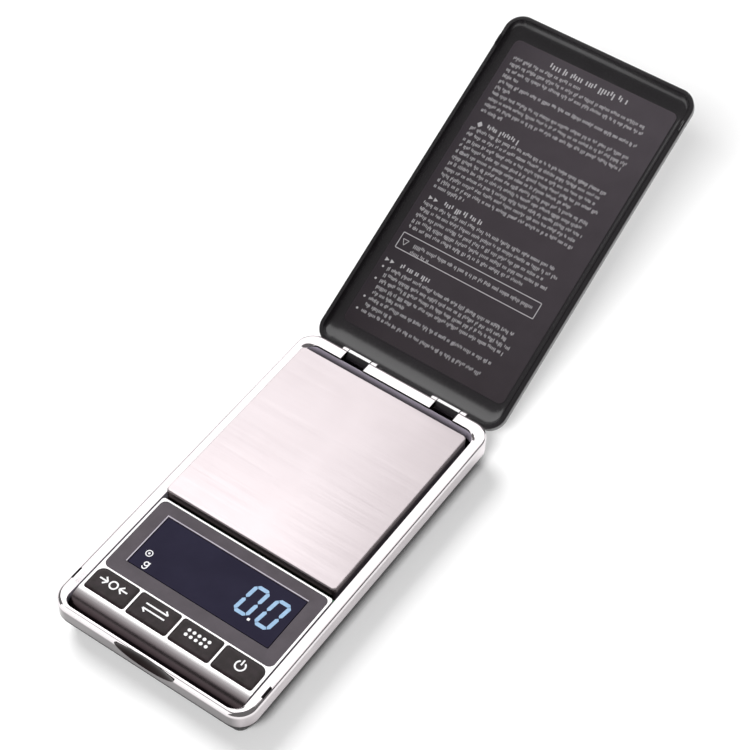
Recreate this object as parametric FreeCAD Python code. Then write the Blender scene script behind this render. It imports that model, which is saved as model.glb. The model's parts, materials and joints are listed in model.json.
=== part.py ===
import FreeCAD, Part
import math
import os

from FreeCAD import Placement, Rotation, Vector

# Pocket gram scale with a flip lid, millimetres.
# X runs across the scale, +Y runs from the keys back to the lid hinge, +Z is up.
# The shapes are built about the middle of the body, on the plane that the rubber feet rest on.
# The lid is made in its closed position and then turned open about the hinge axis.
# Every shape is moved forward by FRAME_SHIFT when it is written, so that the origin ends up
# under the middle of the whole scale with its lid open.

# ---- driving dimensions -------------------------------------------------------------------
FRAME_SHIFT = 53.0
BODY_W = 65.0
BODY_L = 116.86
CORNER_R = 6.0
FOOT_H = 0.6
BAND_Z = 8.0            # lower edge of the chrome frame
DECK_Z = 13.0           # flat top of the key deck
RIM_Z = 13.7            # top of the chrome rim
RIM_ROUND = 1.45

BASE_FLOOR = 1.5
BASE_WALL = 1.4
BASE_STEP = 0.3         # how far the dark base stands in under the chrome
BASE_TUCK = 3.1         # how much further the sloping flank tucks in at the bottom
BASE_LIP_H = 0.8        # upright lip between the flank and the chrome

OPEN_HALF_W = 29.15     # well opening in the frame
OPEN_FRONT = -56.8
OPEN_REAR = 54.25
OPEN_R = 3.6
FRAME_WALL = 1.3
LIP_T = 0.9
LIP_BOTTOM = 9.2
SCOOP_HALF_W = 10.0
SCOOP_HALF_H = 3.3
SCOOP_DEPTH = 1.05

DECK_HALF_W = 28.65
DECK_REAR = -14.1
DECK_ROLL_START = -49.5
DECK_FRONT = -56.5
DECK_ROLL_R = 8.9
DECK_T = 1.8
ROLL_T = 1.2

PANEL_HALF_W = 28.0
PANEL_FRONT = -40.95
PANEL_REAR = -14.75
PANEL_T = 0.8
WINDOW_HALF_W = 23.45
WINDOW_FRONT = -36.28
WINDOW_REAR = -18.58

KEY_PITCH = 14.1
KEY_HALF_W = 6.7
KEY_FRONT = -49.45
KEY_REAR = -41.55
KEY_TOP = 13.2
KEY_GAP = 0.12
KEY_FLANGE = 0.25       # how far the hidden flange stands out beside the cap
KEY_NAMES = ["tare", "unit", "count", "power"]

TRAY_HALF_W = 28.45
TRAY_FRONT = -13.6
TRAY_REAR = 50.2
TRAY_TOP = 16.1
TRAY_BOTTOM = 11.0
TRAY_SHEET = 0.6
TRAY_MID_Y = (TRAY_FRONT + TRAY_REAR) / 2

LID_W = 64.38
LID_L = 116.24
LID_H = 5.0
LID_DEPTH = 3.5
LID_WALL = 1.2
LID_SIDE_COVE = 2.6     # width of the hollow curve inside the long walls
LID_END_COVE_R = 5.6    # radius of the wider hollow curve inside the end walls
LID_MOUTH_R = 4.5       # corner radius of the lid's mouth
LID_FLOOR_R = 3.2       # corner radius of the lid's inner floor
LABEL_LEFT = -27.2
LABEL_RIGHT = 27.9
LABEL_FAR = -51.3
LABEL_NEAR = 49.0
LID_SEAT_Z = RIM_Z + 0.15
LID_OPEN_DEG = 153.2

HINGE_Y = 58.31
HINGE_Z = 11.6
HINGE_X = [-14.1, 16.9]
NOTCH_HALF = 4.0
KNUCKLE_R = 1.8
KNUCKLE_HALF = 3.8
EAR_W = 1.9
PIN_R = 0.75
PIN_PLAY = 0.05

CELL_R = 5.25
CELL_L = 44.5
CELL_PITCH = 10.8
CELL_Z = 7.45
BAY_HALF_W = 24.4
BAY_FRONT = 26.9
BAY_REAR = 48.5
BAY_WALL = 0.8
BAY_ROOF = 12.8
CELL_YS = [(BAY_FRONT + BAY_REAR - CELL_PITCH) / 2, (BAY_FRONT + BAY_REAR + CELL_PITCH) / 2]

DOOR_HALF_W = 24.2
DOOR_FRONT = 25.9
DOOR_TOP = 2.05

BEAM_HALF_L = 23.5
BEAM_HALF_W = 6.0
BEAM_BOTTOM = 4.0
BEAM_TOP = 10.0
BEAM_SCREW_X = 17.5
BEAM_SCREW_DY = 3.2

PCB_Z = 6.0
PCB_T = 1.0
LCD_HALF_W = 24.6
LCD_FRONT = -38.43
LCD_REAR = -16.43
LCD_TOP = 12.0
LCD_T = 1.7

CASE_SCREWS = [(-22.0, -50.5), (22.0, -50.5), (-26.3, 22.0), (26.3, 22.0)]
DECK_SCREWS = [(-10.0, -51.6), (10.0, -51.6), (-27.1, -17.0), (27.1, -17.0)]
FEET = [(-27.1, -41.0), (27.1, -41.0), (-27.1, 44.0), (27.1, 44.0)]
POST_R = 2.3

HALF_W = BODY_W / 2
HALF_L = BODY_L / 2
FLOOR_TOP = FOOT_H + BASE_FLOOR
PCB_TOP = PCB_Z + PCB_T
KEY_XS = [(k - 1.5) * KEY_PITCH for k in range(4)]
KEY_MID_Y = (KEY_FRONT + KEY_REAR) / 2


# ---- shape helpers ------------------------------------------------------------------------
def box(x0, x1, y0, y1, z0, z1):
    return Part.makeBox(x1 - x0, y1 - y0, z1 - z0, Vector(x0, y0, z0))


def post(x, y, r, z0, z1):
    return Part.makeCylinder(r, z1 - z0, Vector(x, y, z0))


def rod_x(x0, x1, y, z, r):
    return Part.makeCylinder(r, x1 - x0, Vector(x0, y, z), Vector(1, 0, 0))


def rounded_outline(x0, x1, y0, y1, r, z):
    """Closed wire: a rectangle with round corners, lying at height z."""
    corners = [(x1 - r, y1 - r, 0), (x0 + r, y1 - r, 90), (x0 + r, y0 + r, 180), (x1 - r, y0 + r, 270)]
    arcs = []
    for cx, cy, start in corners:
        points = []
        for step in (0, 45, 90):
            a = math.radians(start + step)
            points.append(Vector(cx + r * math.cos(a), cy + r * math.sin(a), z))
        arcs.append(Part.Arc(*points).toShape())
    edges = []
    for arc, following in zip(arcs, arcs[1:] + arcs[:1]):
        edges.append(arc)
        edges.append(Part.makeLine(arc.Vertexes[-1].Point, following.Vertexes[0].Point))
    return Part.Wire(edges)


def slab(x0, x1, y0, y1, r, z0, z1):
    face = Part.Face(rounded_outline(x0, x1, y0, y1, r, z0))
    return face.extrude(Vector(0, 0, z1 - z0))


def centred_slab(half_x, half_y, r, z0, z1):
    return slab(-half_x, half_x, -half_y, half_y, r, z0, z1)


def extrude_side_profile(points, x0, x1):
    """Prism along X over a closed outline of (y, z) points."""
    corners = [Vector(x0, y, z) for y, z in points]
    face = Part.Face(Part.makePolygon(corners + corners[:1]))
    return face.extrude(Vector(x1 - x0, 0, 0))


def fused(shapes):
    result = shapes[0]
    if len(shapes) > 1:
        result = shapes[0].fuse(shapes[1:])
    return result.removeSplitter()


def edges_at(shape, z):
    """Edges that lie wholly at height z."""
    return [e for e in shape.Edges if abs(e.BoundBox.ZMin - z) < 1e-4 and abs(e.BoundBox.ZMax - z) < 1e-4]


def pan_screw(x, y, head_z, head_r, head_h, shank_r, tip_z):
    """Pan screw pointing up: its head starts at head_z and its tip ends at tip_z."""
    head = post(x, y, head_r, head_z, head_z + head_h)
    shank = post(x, y, shank_r, head_z + head_h, tip_z)
    cross = fused([
        box(x - head_r * 0.6, x + head_r * 0.6, y - 0.2, y + 0.2, head_z, head_z + 0.6),
        box(x - 0.2, x + 0.2, y - head_r * 0.6, y + head_r * 0.6, head_z, head_z + 0.6),
    ])
    return fused([head, shank]).cut(cross)


def wire_tube(points, r, bend):
    """Round wire along straight runs that are joined by tangent arcs."""
    corners = [Vector(*p) for p in points]
    edges = []
    start = corners[0]
    for before, corner, after in zip(corners, corners[1:], corners[2:]):
        to_before = (before - corner).normalize()
        to_after = (after - corner).normalize()
        half = to_before.getAngle(to_after) / 2
        reach = bend / math.tan(half)
        first = corner + to_before * reach
        last = corner + to_after * reach
        centre = corner + (to_before + to_after).normalize() * (bend / math.sin(half))
        middle = centre + (corner - centre).normalize() * bend
        edges.append(Part.makeLine(start, first))
        edges.append(Part.Arc(first, middle, last).toShape())
        start = last
    edges.append(Part.makeLine(start, corners[-1]))
    path = Part.Wire(edges)
    section = Part.Wire(Part.makeCircle(r, corners[0], (corners[1] - corners[0]).normalize()))
    return path.makePipeShell([section], True, False)


# ---- base ---------------------------------------------------------------------------------
def flank_inset(z):
    """How far the base stands in from the body outline at height z."""
    lip_z = BAND_Z - BASE_LIP_H
    if z >= lip_z:
        return BASE_STEP
    t = min(1.0, (lip_z - z) / (lip_z - FOOT_H))
    return BASE_STEP + BASE_TUCK * t


def base_body(extra, heights):
    """Loft through body outlines that stand in by the flank's inset plus extra."""
    wires = []
    for z in heights:
        d = flank_inset(z) + extra
        wires.append(rounded_outline(-HALF_W + d, HALF_W - d, -HALF_L + d, HALF_L - d, CORNER_R - d, z))
    return Part.makeLoft(wires, True, True)


def outer_base():
    return base_body(0.0, [FOOT_H, BAND_Z - BASE_LIP_H, BAND_Z])


def door_blank(grow):
    """Space of the battery door: a plate that runs out through the rear flank."""
    half = DOOR_HALF_W + grow
    plate = box(-half, half, DOOR_FRONT - grow, HALF_L, FOOT_H - 1, DOOR_TOP + grow)
    tongues = box(-half - 0.8, half + 0.8, DOOR_FRONT - grow, HALF_L, 1.1 - grow, 1.6 + grow)
    return fused([plate, tongues])


def make_base_shell():
    body = outer_base()
    hollow = base_body(BASE_WALL, [FLOOR_TOP, BAND_Z - BASE_LIP_H, BAND_Z + 0.01])
    shell = body.cut(hollow)
    tongue = centred_slab(31.1, HALF_L - 1.4, CORNER_R - 1.4, BAND_Z - 1.0, BAND_Z + 1.1)
    tongue = tongue.cut(centred_slab(30.1, HALF_L - 2.4, CORNER_R - 2.4, BAND_Z - 1.1, BAND_Z + 1.2))
    bay = box(-BAY_HALF_W - BAY_WALL, BAY_HALF_W + BAY_WALL, BAY_FRONT - BAY_WALL, BAY_REAR + BAY_WALL,
              FLOOR_TOP - 0.5, BAY_ROOF + 0.6)
    rear_floor = box(-25.6, 25.6, BAY_REAR, 54.8, FLOOR_TOP - 0.2, FLOOR_TOP + 0.9)
    parts = [shell, tongue, bay, rear_floor]
    for x, y in CASE_SCREWS:
        parts.append(post(x, y, POST_R, FLOOR_TOP - 0.5, BAND_Z))
    for x, y in DECK_SCREWS:
        parts.append(post(x, y, 2.4, FLOOR_TOP - 0.5, PCB_Z))
    parts.append(post(21.9, TRAY_MID_Y, 2.5, FLOOR_TOP - 0.5, 3.1))
    shell = fused(parts)
    shell = shell.cut(box(-BAY_HALF_W, BAY_HALF_W, BAY_FRONT, BAY_REAR, 0, BAY_ROOF))
    shell = shell.cut(door_blank(0.15))
    for x, y in CASE_SCREWS:
        shell = shell.cut([post(x, y, 2.1, 0, 2.6), post(x, y, 1.15, 0, BAND_Z + 1)])
        lug_gap = lug_box(x, y, 0.3)
        shell = shell.cut(lug_gap)
    for x, y in DECK_SCREWS:
        shell = shell.cut([post(x, y, 1.9, 0, 4.4), post(x, y, 1.1, 0, PCB_Z + 1)])
    for dy in (-BEAM_SCREW_DY, BEAM_SCREW_DY):
        y = TRAY_MID_Y + dy
        shell = shell.cut([post(-BEAM_SCREW_X, y, 2.4, 0, 1.3), post(-BEAM_SCREW_X, y, 1.4, 0, 4)])
    shell = shell.cut(post(21.9, TRAY_MID_Y, 1.5, 0, 4))
    for x, y in FEET:
        shell = shell.cut(foot_bar(x, y, 0.0, FOOT_H + 0.4))
    return shell


def foot_bar(x, y, z0, z1):
    return slab(x - 1.4, x + 1.4, y - 7.0, y + 7.0, 1.39, z0, z1)


def make_rubber_feet():
    return Part.makeCompound([foot_bar(x, y, 0.0, FOOT_H + 0.4) for x, y in FEET])


def make_battery_door():
    door = outer_base().common(door_blank(0.0))
    grips = []
    for k in range(6):
        y = 46.0 + 1.4 * k
        grips.append(box(-9.0, 9.0, y, y + 0.6, FOOT_H - 1, FOOT_H + 0.35))
    arrow = extrude_arrow(0.0, 41.5)
    return door.cut(grips + [arrow])


def extrude_arrow(x, y):
    """Shallow arrowhead in the door that points the way it slides."""
    points = [Vector(x - 2.5, y, 0), Vector(x + 2.5, y, 0), Vector(x, y + 3.0, 0), Vector(x - 2.5, y, 0)]
    return Part.Face(Part.makePolygon(points)).extrude(Vector(0, 0, FOOT_H + 0.3))


def lug_box(x, y, grow):
    """Tab that carries a case screw, reaching in from the frame."""
    if y < 0:
        return box(x - 2.5 - grow, x + 2.5 + grow, -57.2, y + 2.5 + grow, BAND_Z, LIP_BOTTOM + grow)
    outer = math.copysign(31.3, x)
    inner = x - math.copysign(2.3 + grow, x)
    return box(min(outer, inner), max(outer, inner), y - 2.5 - grow, y + 2.5 + grow, BAND_Z, LIP_BOTTOM + grow)


def make_case_screws():
    return Part.makeCompound([pan_screw(x, y, 1.2, 1.9, 1.4, 1.0, LIP_BOTTOM - 0.2) for x, y in CASE_SCREWS])


# ---- chrome frame -------------------------------------------------------------------------
def thumb_scoop():
    """Dished hollow in the middle of the front wall, to get a thumb under the lid."""
    plan_r = (SCOOP_HALF_W ** 2 + SCOOP_DEPTH ** 2) / (2 * SCOOP_DEPTH)
    side_r = (SCOOP_HALF_H ** 2 + SCOOP_DEPTH ** 2) / (2 * SCOOP_DEPTH)
    centre = Vector(0, -HALF_L + SCOOP_DEPTH - plan_r, DECK_Z)
    return Part.makeTorus(plan_r - side_r, side_r, centre)


def hinge_ear(x0):
    block = box(x0, x0 + EAR_W, 55.6, HINGE_Y, HINGE_Z - KNUCKLE_R, HINGE_Z + KNUCKLE_R)
    return fused([block, rod_x(x0, x0 + EAR_W, HINGE_Y, HINGE_Z, KNUCKLE_R)])


def make_chrome_frame():
    frame = centred_slab(HALF_W, HALF_L, CORNER_R, BAND_Z, RIM_Z)
    frame = frame.makeFillet(RIM_ROUND, edges_at(frame, RIM_Z))
    well = slab(-OPEN_HALF_W, OPEN_HALF_W, OPEN_FRONT, OPEN_REAR, OPEN_R, 0, 20)
    under = centred_slab(HALF_W - FRAME_WALL, HALF_L - FRAME_WALL, CORNER_R - FRAME_WALL, 0, LIP_BOTTOM)
    hollow = centred_slab(HALF_W - FRAME_WALL, HALF_L - FRAME_WALL, CORNER_R - FRAME_WALL, 0, RIM_Z - 1.5)
    hollow = hollow.cut(slab(-OPEN_HALF_W - LIP_T, OPEN_HALF_W + LIP_T, OPEN_FRONT - 3, OPEN_REAR + LIP_T,
                             OPEN_R + LIP_T, -1, 20))
    frame = frame.cut([well, under, hollow])
    ears = []
    notches = []
    bores = []
    for xc in HINGE_X:
        for x0 in (xc - NOTCH_HALF - EAR_W, xc + NOTCH_HALF):
            ears.append(hinge_ear(x0))
        notches.append(box(xc - NOTCH_HALF, xc + NOTCH_HALF, OPEN_REAR + 0.65, HALF_L + 3, 9.5, 20))
        notches.append(box(xc - NOTCH_HALF, xc + NOTCH_HALF, OPEN_REAR - 1, OPEN_REAR + 0.7, DECK_Z + 0.2, 20))
        bores.append(rod_x(xc - 8, xc + 8, HINGE_Y, HINGE_Z, PIN_R))
    lugs = [lug_box(x, y, 0.0) for x, y in CASE_SCREWS]
    frame = fused([frame] + ears + lugs)
    cutters = notches + bores + [thumb_scoop()]
    for side in (-1, 1):
        x0, x1 = sorted((side * 31.2, side * 31.95))
        cutters.append(box(x0, x1, -49.54, -45.54, RIM_Z - 1.3, 20))
        bevel = [(side * 28.0, 12.9), (side * 30.6, RIM_Z), (side * 30.6, 15.0), (side * 28.0, 15.0)]
        corners = [Vector(x, OPEN_FRONT + 5, z) for x, z in bevel]
        face = Part.Face(Part.makePolygon(corners + corners[:1]))
        cutters.append(face.extrude(Vector(0, OPEN_REAR - OPEN_FRONT - 10, 0)))
    for x, y in CASE_SCREWS:
        cutters.append(post(x, y, 1.0, 0, LIP_BOTTOM + 1))
    return frame.cut(cutters)


def make_hinge_pin(xc):
    half = NOTCH_HALF + EAR_W
    pin = rod_x(xc - half, xc + half, HINGE_Y, HINGE_Z, PIN_R)
    return pin.makeChamfer(0.15, [e for e in pin.Edges if e.BoundBox.XLength < 1e-4])


# ---- lid ----------------------------------------------------------------------------------
def swing_open(shape):
    turned = shape.copy()
    turned.rotate(Vector(0, HINGE_Y, HINGE_Z), Vector(1, 0, 0), -LID_OPEN_DEG)
    return turned


def lid_hollow():
    """Inside of the lid: outlines that draw in along the hollow curves of the walls."""
    wires = []
    for share in (0.0, 0.25, 0.5, 0.7, 0.85, 0.95, 1.0):
        depth = LID_DEPTH * share
        side = LID_WALL + LID_SIDE_COVE * (1 - math.sqrt(1 - share * share))
        reach = LID_END_COVE_R - LID_DEPTH
        end_width = math.sqrt(LID_END_COVE_R ** 2 - reach ** 2)
        end = LID_WALL + end_width - math.sqrt(LID_END_COVE_R ** 2 - (reach + depth) ** 2)
        half_x = LID_W / 2 - side
        half_y = LID_L / 2 - end
        corner = LID_MOUTH_R + (LID_FLOOR_R - LID_MOUTH_R) * share
        wires.append(rounded_outline(-half_x, half_x, -half_y, half_y, corner, LID_SEAT_Z + depth))
    return Part.makeLoft(wires, True, True)


def lid_shell_closed():
    top = LID_SEAT_Z + LID_H
    shell = centred_slab(LID_W / 2, LID_L / 2, CORNER_R - 0.3, LID_SEAT_Z, top)
    shell = shell.makeFillet(3.2, edges_at(shell, top))
    shell = shell.cut(lid_hollow())
    extras = []
    for xc in HINGE_X:
        extras.append(rod_x(xc - KNUCKLE_HALF, xc + KNUCKLE_HALF, HINGE_Y, HINGE_Z, KNUCKLE_R))
        extras.append(box(xc - KNUCKLE_HALF, xc + KNUCKLE_HALF, HINGE_Y - 1.7, LID_L / 2, HINGE_Z, LID_SEAT_Z + 1.2))
    for side in (-1, 1):
        x0, x1 = sorted((side * 31.35, side * 31.8))
        extras.append(box(x0, x1, -49.2, -45.9, LID_SEAT_Z - 1.0, LID_SEAT_Z + 0.6))
    shell = fused([shell] + extras)
    return shell.cut([rod_x(xc - 8, xc + 8, HINGE_Y, HINGE_Z, PIN_R + PIN_PLAY) for xc in HINGE_X])


def lid_label_closed():
    top = LID_SEAT_Z + LID_DEPTH
    return slab(LABEL_LEFT, LABEL_RIGHT, LABEL_FAR, LABEL_NEAR, 2.0, top - 0.12, top)


# ---- key deck and display -----------------------------------------------------------------
def deck_profile_face():
    """Side outline of the deck: flat plate with a front that rolls down."""
    roll_z = DECK_Z - DECK_ROLL_R
    inner_r = DECK_ROLL_R - ROLL_T
    end_z = LIP_BOTTOM + 0.25

    def on_arc(r, y=None, z=None):
        if y is None:
            y = DECK_ROLL_START - math.sqrt(r * r - (z - roll_z) ** 2)
        else:
            z = roll_z + math.sqrt(r * r - (y - DECK_ROLL_START) ** 2)
        return Vector(0, y, z)

    under_z = DECK_Z - DECK_T
    top_rear = Vector(0, DECK_REAR, DECK_Z)
    top_front = Vector(0, DECK_ROLL_START, DECK_Z)
    outer_mid = on_arc(DECK_ROLL_R, y=(DECK_ROLL_START + DECK_FRONT) / 2)
    outer_end = on_arc(DECK_ROLL_R, y=DECK_FRONT)
    lower_front = Vector(0, DECK_FRONT, end_z)
    inner_end = on_arc(inner_r, z=end_z)
    inner_start = on_arc(inner_r, z=under_z)
    inner_mid = on_arc(inner_r, z=(end_z + under_z) / 2)
    under_rear = Vector(0, DECK_REAR, under_z)
    edges = [
        Part.makeLine(top_rear, top_front),
        Part.Arc(top_front, outer_mid, outer_end).toShape(),
        Part.makeLine(outer_end, lower_front),
        Part.makeLine(lower_front, inner_end),
        Part.Arc(inner_end, inner_mid, inner_start).toShape(),
        Part.makeLine(inner_start, under_rear),
        Part.makeLine(under_rear, top_rear),
    ]
    return Part.Face(Part.Wire(edges))


def key_plan(xc, grow, z0, z1):
    """One key outline, with a larger radius at the outer rear corner of the end keys."""
    half = KEY_HALF_W + grow
    key = slab(xc - half, xc + half, KEY_FRONT - grow, KEY_REAR + grow, 0.8, z0, z1)
    if abs(xc) > KEY_PITCH:
        big_r = 2.4
        corner_x = xc + math.copysign(half, xc)
        corner_y = KEY_REAR + grow
        inner_x = corner_x - math.copysign(big_r, xc)
        block = box(min(corner_x, inner_x), max(corner_x, inner_x), corner_y - big_r, corner_y, z0, z1)
        block = block.cut(post(inner_x, corner_y - big_r, big_r, z0, z1))
        key = key.cut(block)
    return key


def make_key_deck():
    face = deck_profile_face()
    face.translate(Vector(-DECK_HALF_W, 0, 0))
    deck = face.extrude(Vector(2 * DECK_HALF_W, 0, 0))
    front_r = OPEN_R - 0.45
    deck = deck.common(slab(-DECK_HALF_W, DECK_HALF_W, DECK_FRONT, 0, front_r, 0, 20))
    rear_corners = []
    for side in (-1, 1):
        for e in deck.Edges:
            on_side = abs(e.BoundBox.XMin - side * DECK_HALF_W) < 1e-4 and e.BoundBox.XLength < 1e-4
            upright = e.BoundBox.YLength < 1e-4 and abs(e.BoundBox.YMin - DECK_REAR) < 1e-4
            if on_side and upright and e.BoundBox.ZLength > 1:
                rear_corners.append(e)
    deck = deck.makeFillet(1.0, rear_corners)
    bosses = []
    for x, y in DECK_SCREWS:
        bosses.append(post(x, y, 1.5, PCB_TOP, DECK_Z - 1.2))
    deck = fused([deck] + bosses)
    cutters = [slab(-PANEL_HALF_W - 0.05, PANEL_HALF_W + 0.05, PANEL_FRONT - 0.05, PANEL_REAR + 0.05, 1.85,
                    DECK_Z - PANEL_T, 20)]
    cutters.append(box(-LCD_HALF_W - 0.3, LCD_HALF_W + 0.3, LCD_FRONT - 0.3, LCD_REAR + 0.3, 5, 20))
    for xc in KEY_XS:
        cutters.append(key_plan(xc, KEY_GAP, 5, 20))
    for x, y in DECK_SCREWS:
        cutters.append(post(x, y, 0.8, PCB_TOP - 1, DECK_Z - 1.8))
    return deck.cut(cutters)


def make_deck_screws():
    return Part.makeCompound([pan_screw(x, y, 3.1, 1.7, 1.2, 0.8, DECK_Z - 2.2) for x, y in DECK_SCREWS])


def make_display_panel():
    panel = slab(-PANEL_HALF_W, PANEL_HALF_W, PANEL_FRONT, PANEL_REAR, 1.8, DECK_Z - PANEL_T, DECK_Z)
    bottom = rounded_outline(-WINDOW_HALF_W, WINDOW_HALF_W, WINDOW_FRONT, WINDOW_REAR, 0.3, DECK_Z - PANEL_T)
    top = rounded_outline(-WINDOW_HALF_W - 0.3, WINDOW_HALF_W + 0.3, WINDOW_FRONT - 0.3, WINDOW_REAR + 0.3, 0.4,
                          DECK_Z)
    return panel.cut(Part.makeLoft([bottom, top], True, True))


def make_display_window():
    return slab(-WINDOW_HALF_W + 0.1, WINDOW_HALF_W - 0.1, WINDOW_FRONT + 0.1, WINDOW_REAR - 0.1, 0.3,
                LCD_TOP, DECK_Z - 0.4)


def make_lcd_glass():
    return box(-LCD_HALF_W, LCD_HALF_W, LCD_FRONT, LCD_REAR, LCD_TOP - LCD_T, LCD_TOP)


def make_lcd_backlight():
    return box(-LCD_HALF_W, LCD_HALF_W, LCD_FRONT + 3.0, LCD_REAR, PCB_TOP + 0.4, LCD_TOP - LCD_T)


def make_lcd_holder():
    wall = 0.8
    top = DECK_Z - DECK_T
    holder = box(-LCD_HALF_W - 0.1 - wall, LCD_HALF_W + 0.1 + wall, LCD_FRONT - 0.1 - wall, LCD_REAR + 0.1 + wall,
                 PCB_TOP, top)
    holder = holder.cut(box(-LCD_HALF_W - 0.1, LCD_HALF_W + 0.1, LCD_FRONT - 0.1, LCD_REAR + 0.1, PCB_TOP + 0.4, top))
    return holder.cut(box(-LCD_HALF_W + 1.5, LCD_HALF_W - 1.5, LCD_FRONT, LCD_REAR - 2, 0, top))


def make_connector_strip():
    return box(-22.5, 22.5, LCD_FRONT + 0.4, LCD_FRONT + 2.2, PCB_TOP, LCD_TOP - LCD_T)


# ---- keys ---------------------------------------------------------------------------------
def make_key(xc):
    cap = key_plan(xc, 0.0, DECK_Z - DECK_T - 0.1, KEY_TOP)
    cap = cap.makeFillet(0.2, edges_at(cap, KEY_TOP))
    flange = slab(xc - KEY_HALF_W - KEY_FLANGE, xc + KEY_HALF_W + KEY_FLANGE, KEY_FRONT - 0.35, KEY_REAR + 0.35, 0.8,
                  DECK_Z - DECK_T - 0.6, DECK_Z - DECK_T - 0.1)
    stem = post(xc, KEY_MID_Y, 1.3, DECK_Z - DECK_T - 0.8, DECK_Z - DECK_T - 0.6)
    return fused([cap, flange, stem])


def make_plunger(xc):
    return post(xc, KEY_MID_Y, 1.0, PCB_TOP + 1.9, DECK_Z - DECK_T - 0.8)


def make_switch_bodies():
    bodies = []
    for xc in KEY_XS:
        body = box(xc - 3.0, xc + 3.0, KEY_MID_Y - 1.7, KEY_MID_Y + 1.7, PCB_TOP, PCB_TOP + 2.6)
        bodies.append(body.cut(post(xc, KEY_MID_Y, 1.15, PCB_TOP + 1.2, PCB_TOP + 3)))
    return Part.makeCompound(bodies)


# ---- electronics --------------------------------------------------------------------------
def make_main_pcb():
    board = fused([
        box(-28.4, 28.4, -47.5, -9.5, PCB_Z, PCB_TOP),
        box(-18.0, 18.0, -53.5, -47.5, PCB_Z, PCB_TOP),
    ])
    return board.cut([post(x, y, 1.1, 0, 10) for x, y in DECK_SCREWS])


def make_microcontroller():
    pins = []
    for k in range(12):
        offset = -5.5 + k
        pins.append(box(-13.4, -1.0, -30.0 + offset - 0.2, -30.0 + offset + 0.2, PCB_Z - 0.2, PCB_Z))
        pins.append(box(-7.2 + offset - 0.2, -7.2 + offset + 0.2, -36.2, -23.8, PCB_Z - 0.2, PCB_Z))
    return fused([box(-12.2, -2.2, -35.0, -25.0, PCB_Z - 1.5, PCB_Z)] + pins)


def make_converter_chip():
    pins = [box(8.0 + 1.27 * k, 8.5 + 1.27 * k, -27.0, -21.0, PCB_Z - 0.2, PCB_Z) for k in range(8)]
    return fused([box(7.6, 17.8, -26.0, -22.0, PCB_Z - 1.6, PCB_Z)] + pins)


def make_crystal():
    return slab(3.0, 6.0, -42.0, -34.0, 1.4, PCB_Z - 2.4, PCB_Z)


def make_capacitors():
    small = []
    for k in range(5):
        small.append(box(10.0 + 3.2 * k, 12.0 + 3.2 * k, -33.0, -31.7, PCB_Z - 0.9, PCB_Z))
    can = post(-20.0, -22.0, 2.5, PCB_Z - 3.4, PCB_Z)
    return Part.makeCompound(small + [can])


# ---- batteries ----------------------------------------------------------------------------
def make_cell(index):
    """AAA cell on its side; the first has its nub to the right, the second to the left."""
    y = CELL_YS[index]
    way = 1 if index == 0 else -1
    can_end = 23.9 - 0.9
    start = 23.9 - CELL_L
    can = rod_x(min(way * start, way * can_end), max(way * start, way * can_end), y, CELL_Z, CELL_R)
    nub = rod_x(min(way * can_end, way * 23.9), max(way * can_end, way * 23.9), y, CELL_Z, 1.9)
    return fused([can, nub])


def make_battery_springs():
    """A short spiral coil at the flat end of each cell."""
    coils = []
    for index, way in ((0, 1), (1, -1)):
        far = way * (23.9 - CELL_L)
        near = -way * 24.0
        length = abs(far - near) - 0.7
        coil = Part.makeHelix(length / 3.5, length, 3.4, -12.0)
        section = Part.Wire(Part.makeCircle(0.3, Vector(3.4, 0, 0), Vector(0, 1, 0)))
        spring = Part.Wire(coil).makePipeShell([section], True, True)
        turn = Rotation(Vector(0, 1, 0), 90 * way)
        spring.Placement = Placement(Vector(near + way * 0.35, CELL_YS[index], CELL_Z), turn)
        coils.append(spring)
    return Part.makeCompound(coils)


def make_contact_plates():
    """Three plates: one bridges both cells, two lead to the wires."""
    plates = [box(-24.4, -24.0, CELL_YS[0] - 4.0, CELL_YS[0] + 4.0, CELL_Z - 4.0, CELL_Z + 4.0),
              box(-24.4, -24.0, CELL_YS[1] - 4.0, CELL_YS[1] + 4.0, CELL_Z - 4.0, CELL_Z + 4.0),
              box(24.0, 24.4, CELL_YS[0] - 4.0, CELL_YS[1] + 4.0, CELL_Z - 4.0, CELL_Z + 4.0)]
    return Part.makeCompound(plates)


def make_battery_wire(side):
    x = side * 29.35
    y0 = CELL_YS[0]
    points = [(side * 25.2, y0, 7.45), (x, y0, 7.45), (x, -5.0, 7.45), (side * 22.0, -5.0, 7.45),
              (side * 22.0, -12.0, 7.45)]
    return wire_tube(points, 0.45, 1.6)


# ---- weighing works -----------------------------------------------------------------------
def make_load_cell():
    beam = box(-BEAM_HALF_L, BEAM_HALF_L, TRAY_MID_Y - BEAM_HALF_W, TRAY_MID_Y + BEAM_HALF_W, BEAM_BOTTOM, BEAM_TOP)
    cuts = []
    y0 = TRAY_MID_Y - BEAM_HALF_W - 1
    y1 = TRAY_MID_Y + BEAM_HALF_W + 1
    mid_z = (BEAM_BOTTOM + BEAM_TOP) / 2
    for x in (-4.5, 4.5):
        cuts.append(Part.makeCylinder(2.2, y1 - y0, Vector(x, y0, mid_z), Vector(0, 1, 0)))
    cuts.append(box(-4.5, 4.5, y0, y1, mid_z - 0.8, mid_z + 0.8))
    for dy in (-BEAM_SCREW_DY, BEAM_SCREW_DY):
        cuts.append(post(-BEAM_SCREW_X, TRAY_MID_Y + dy, 1.25, 0, 7.5))
        cuts.append(post(BEAM_SCREW_X, TRAY_MID_Y + dy, 1.45, 0, 20))
    return beam.cut(cuts)


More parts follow.
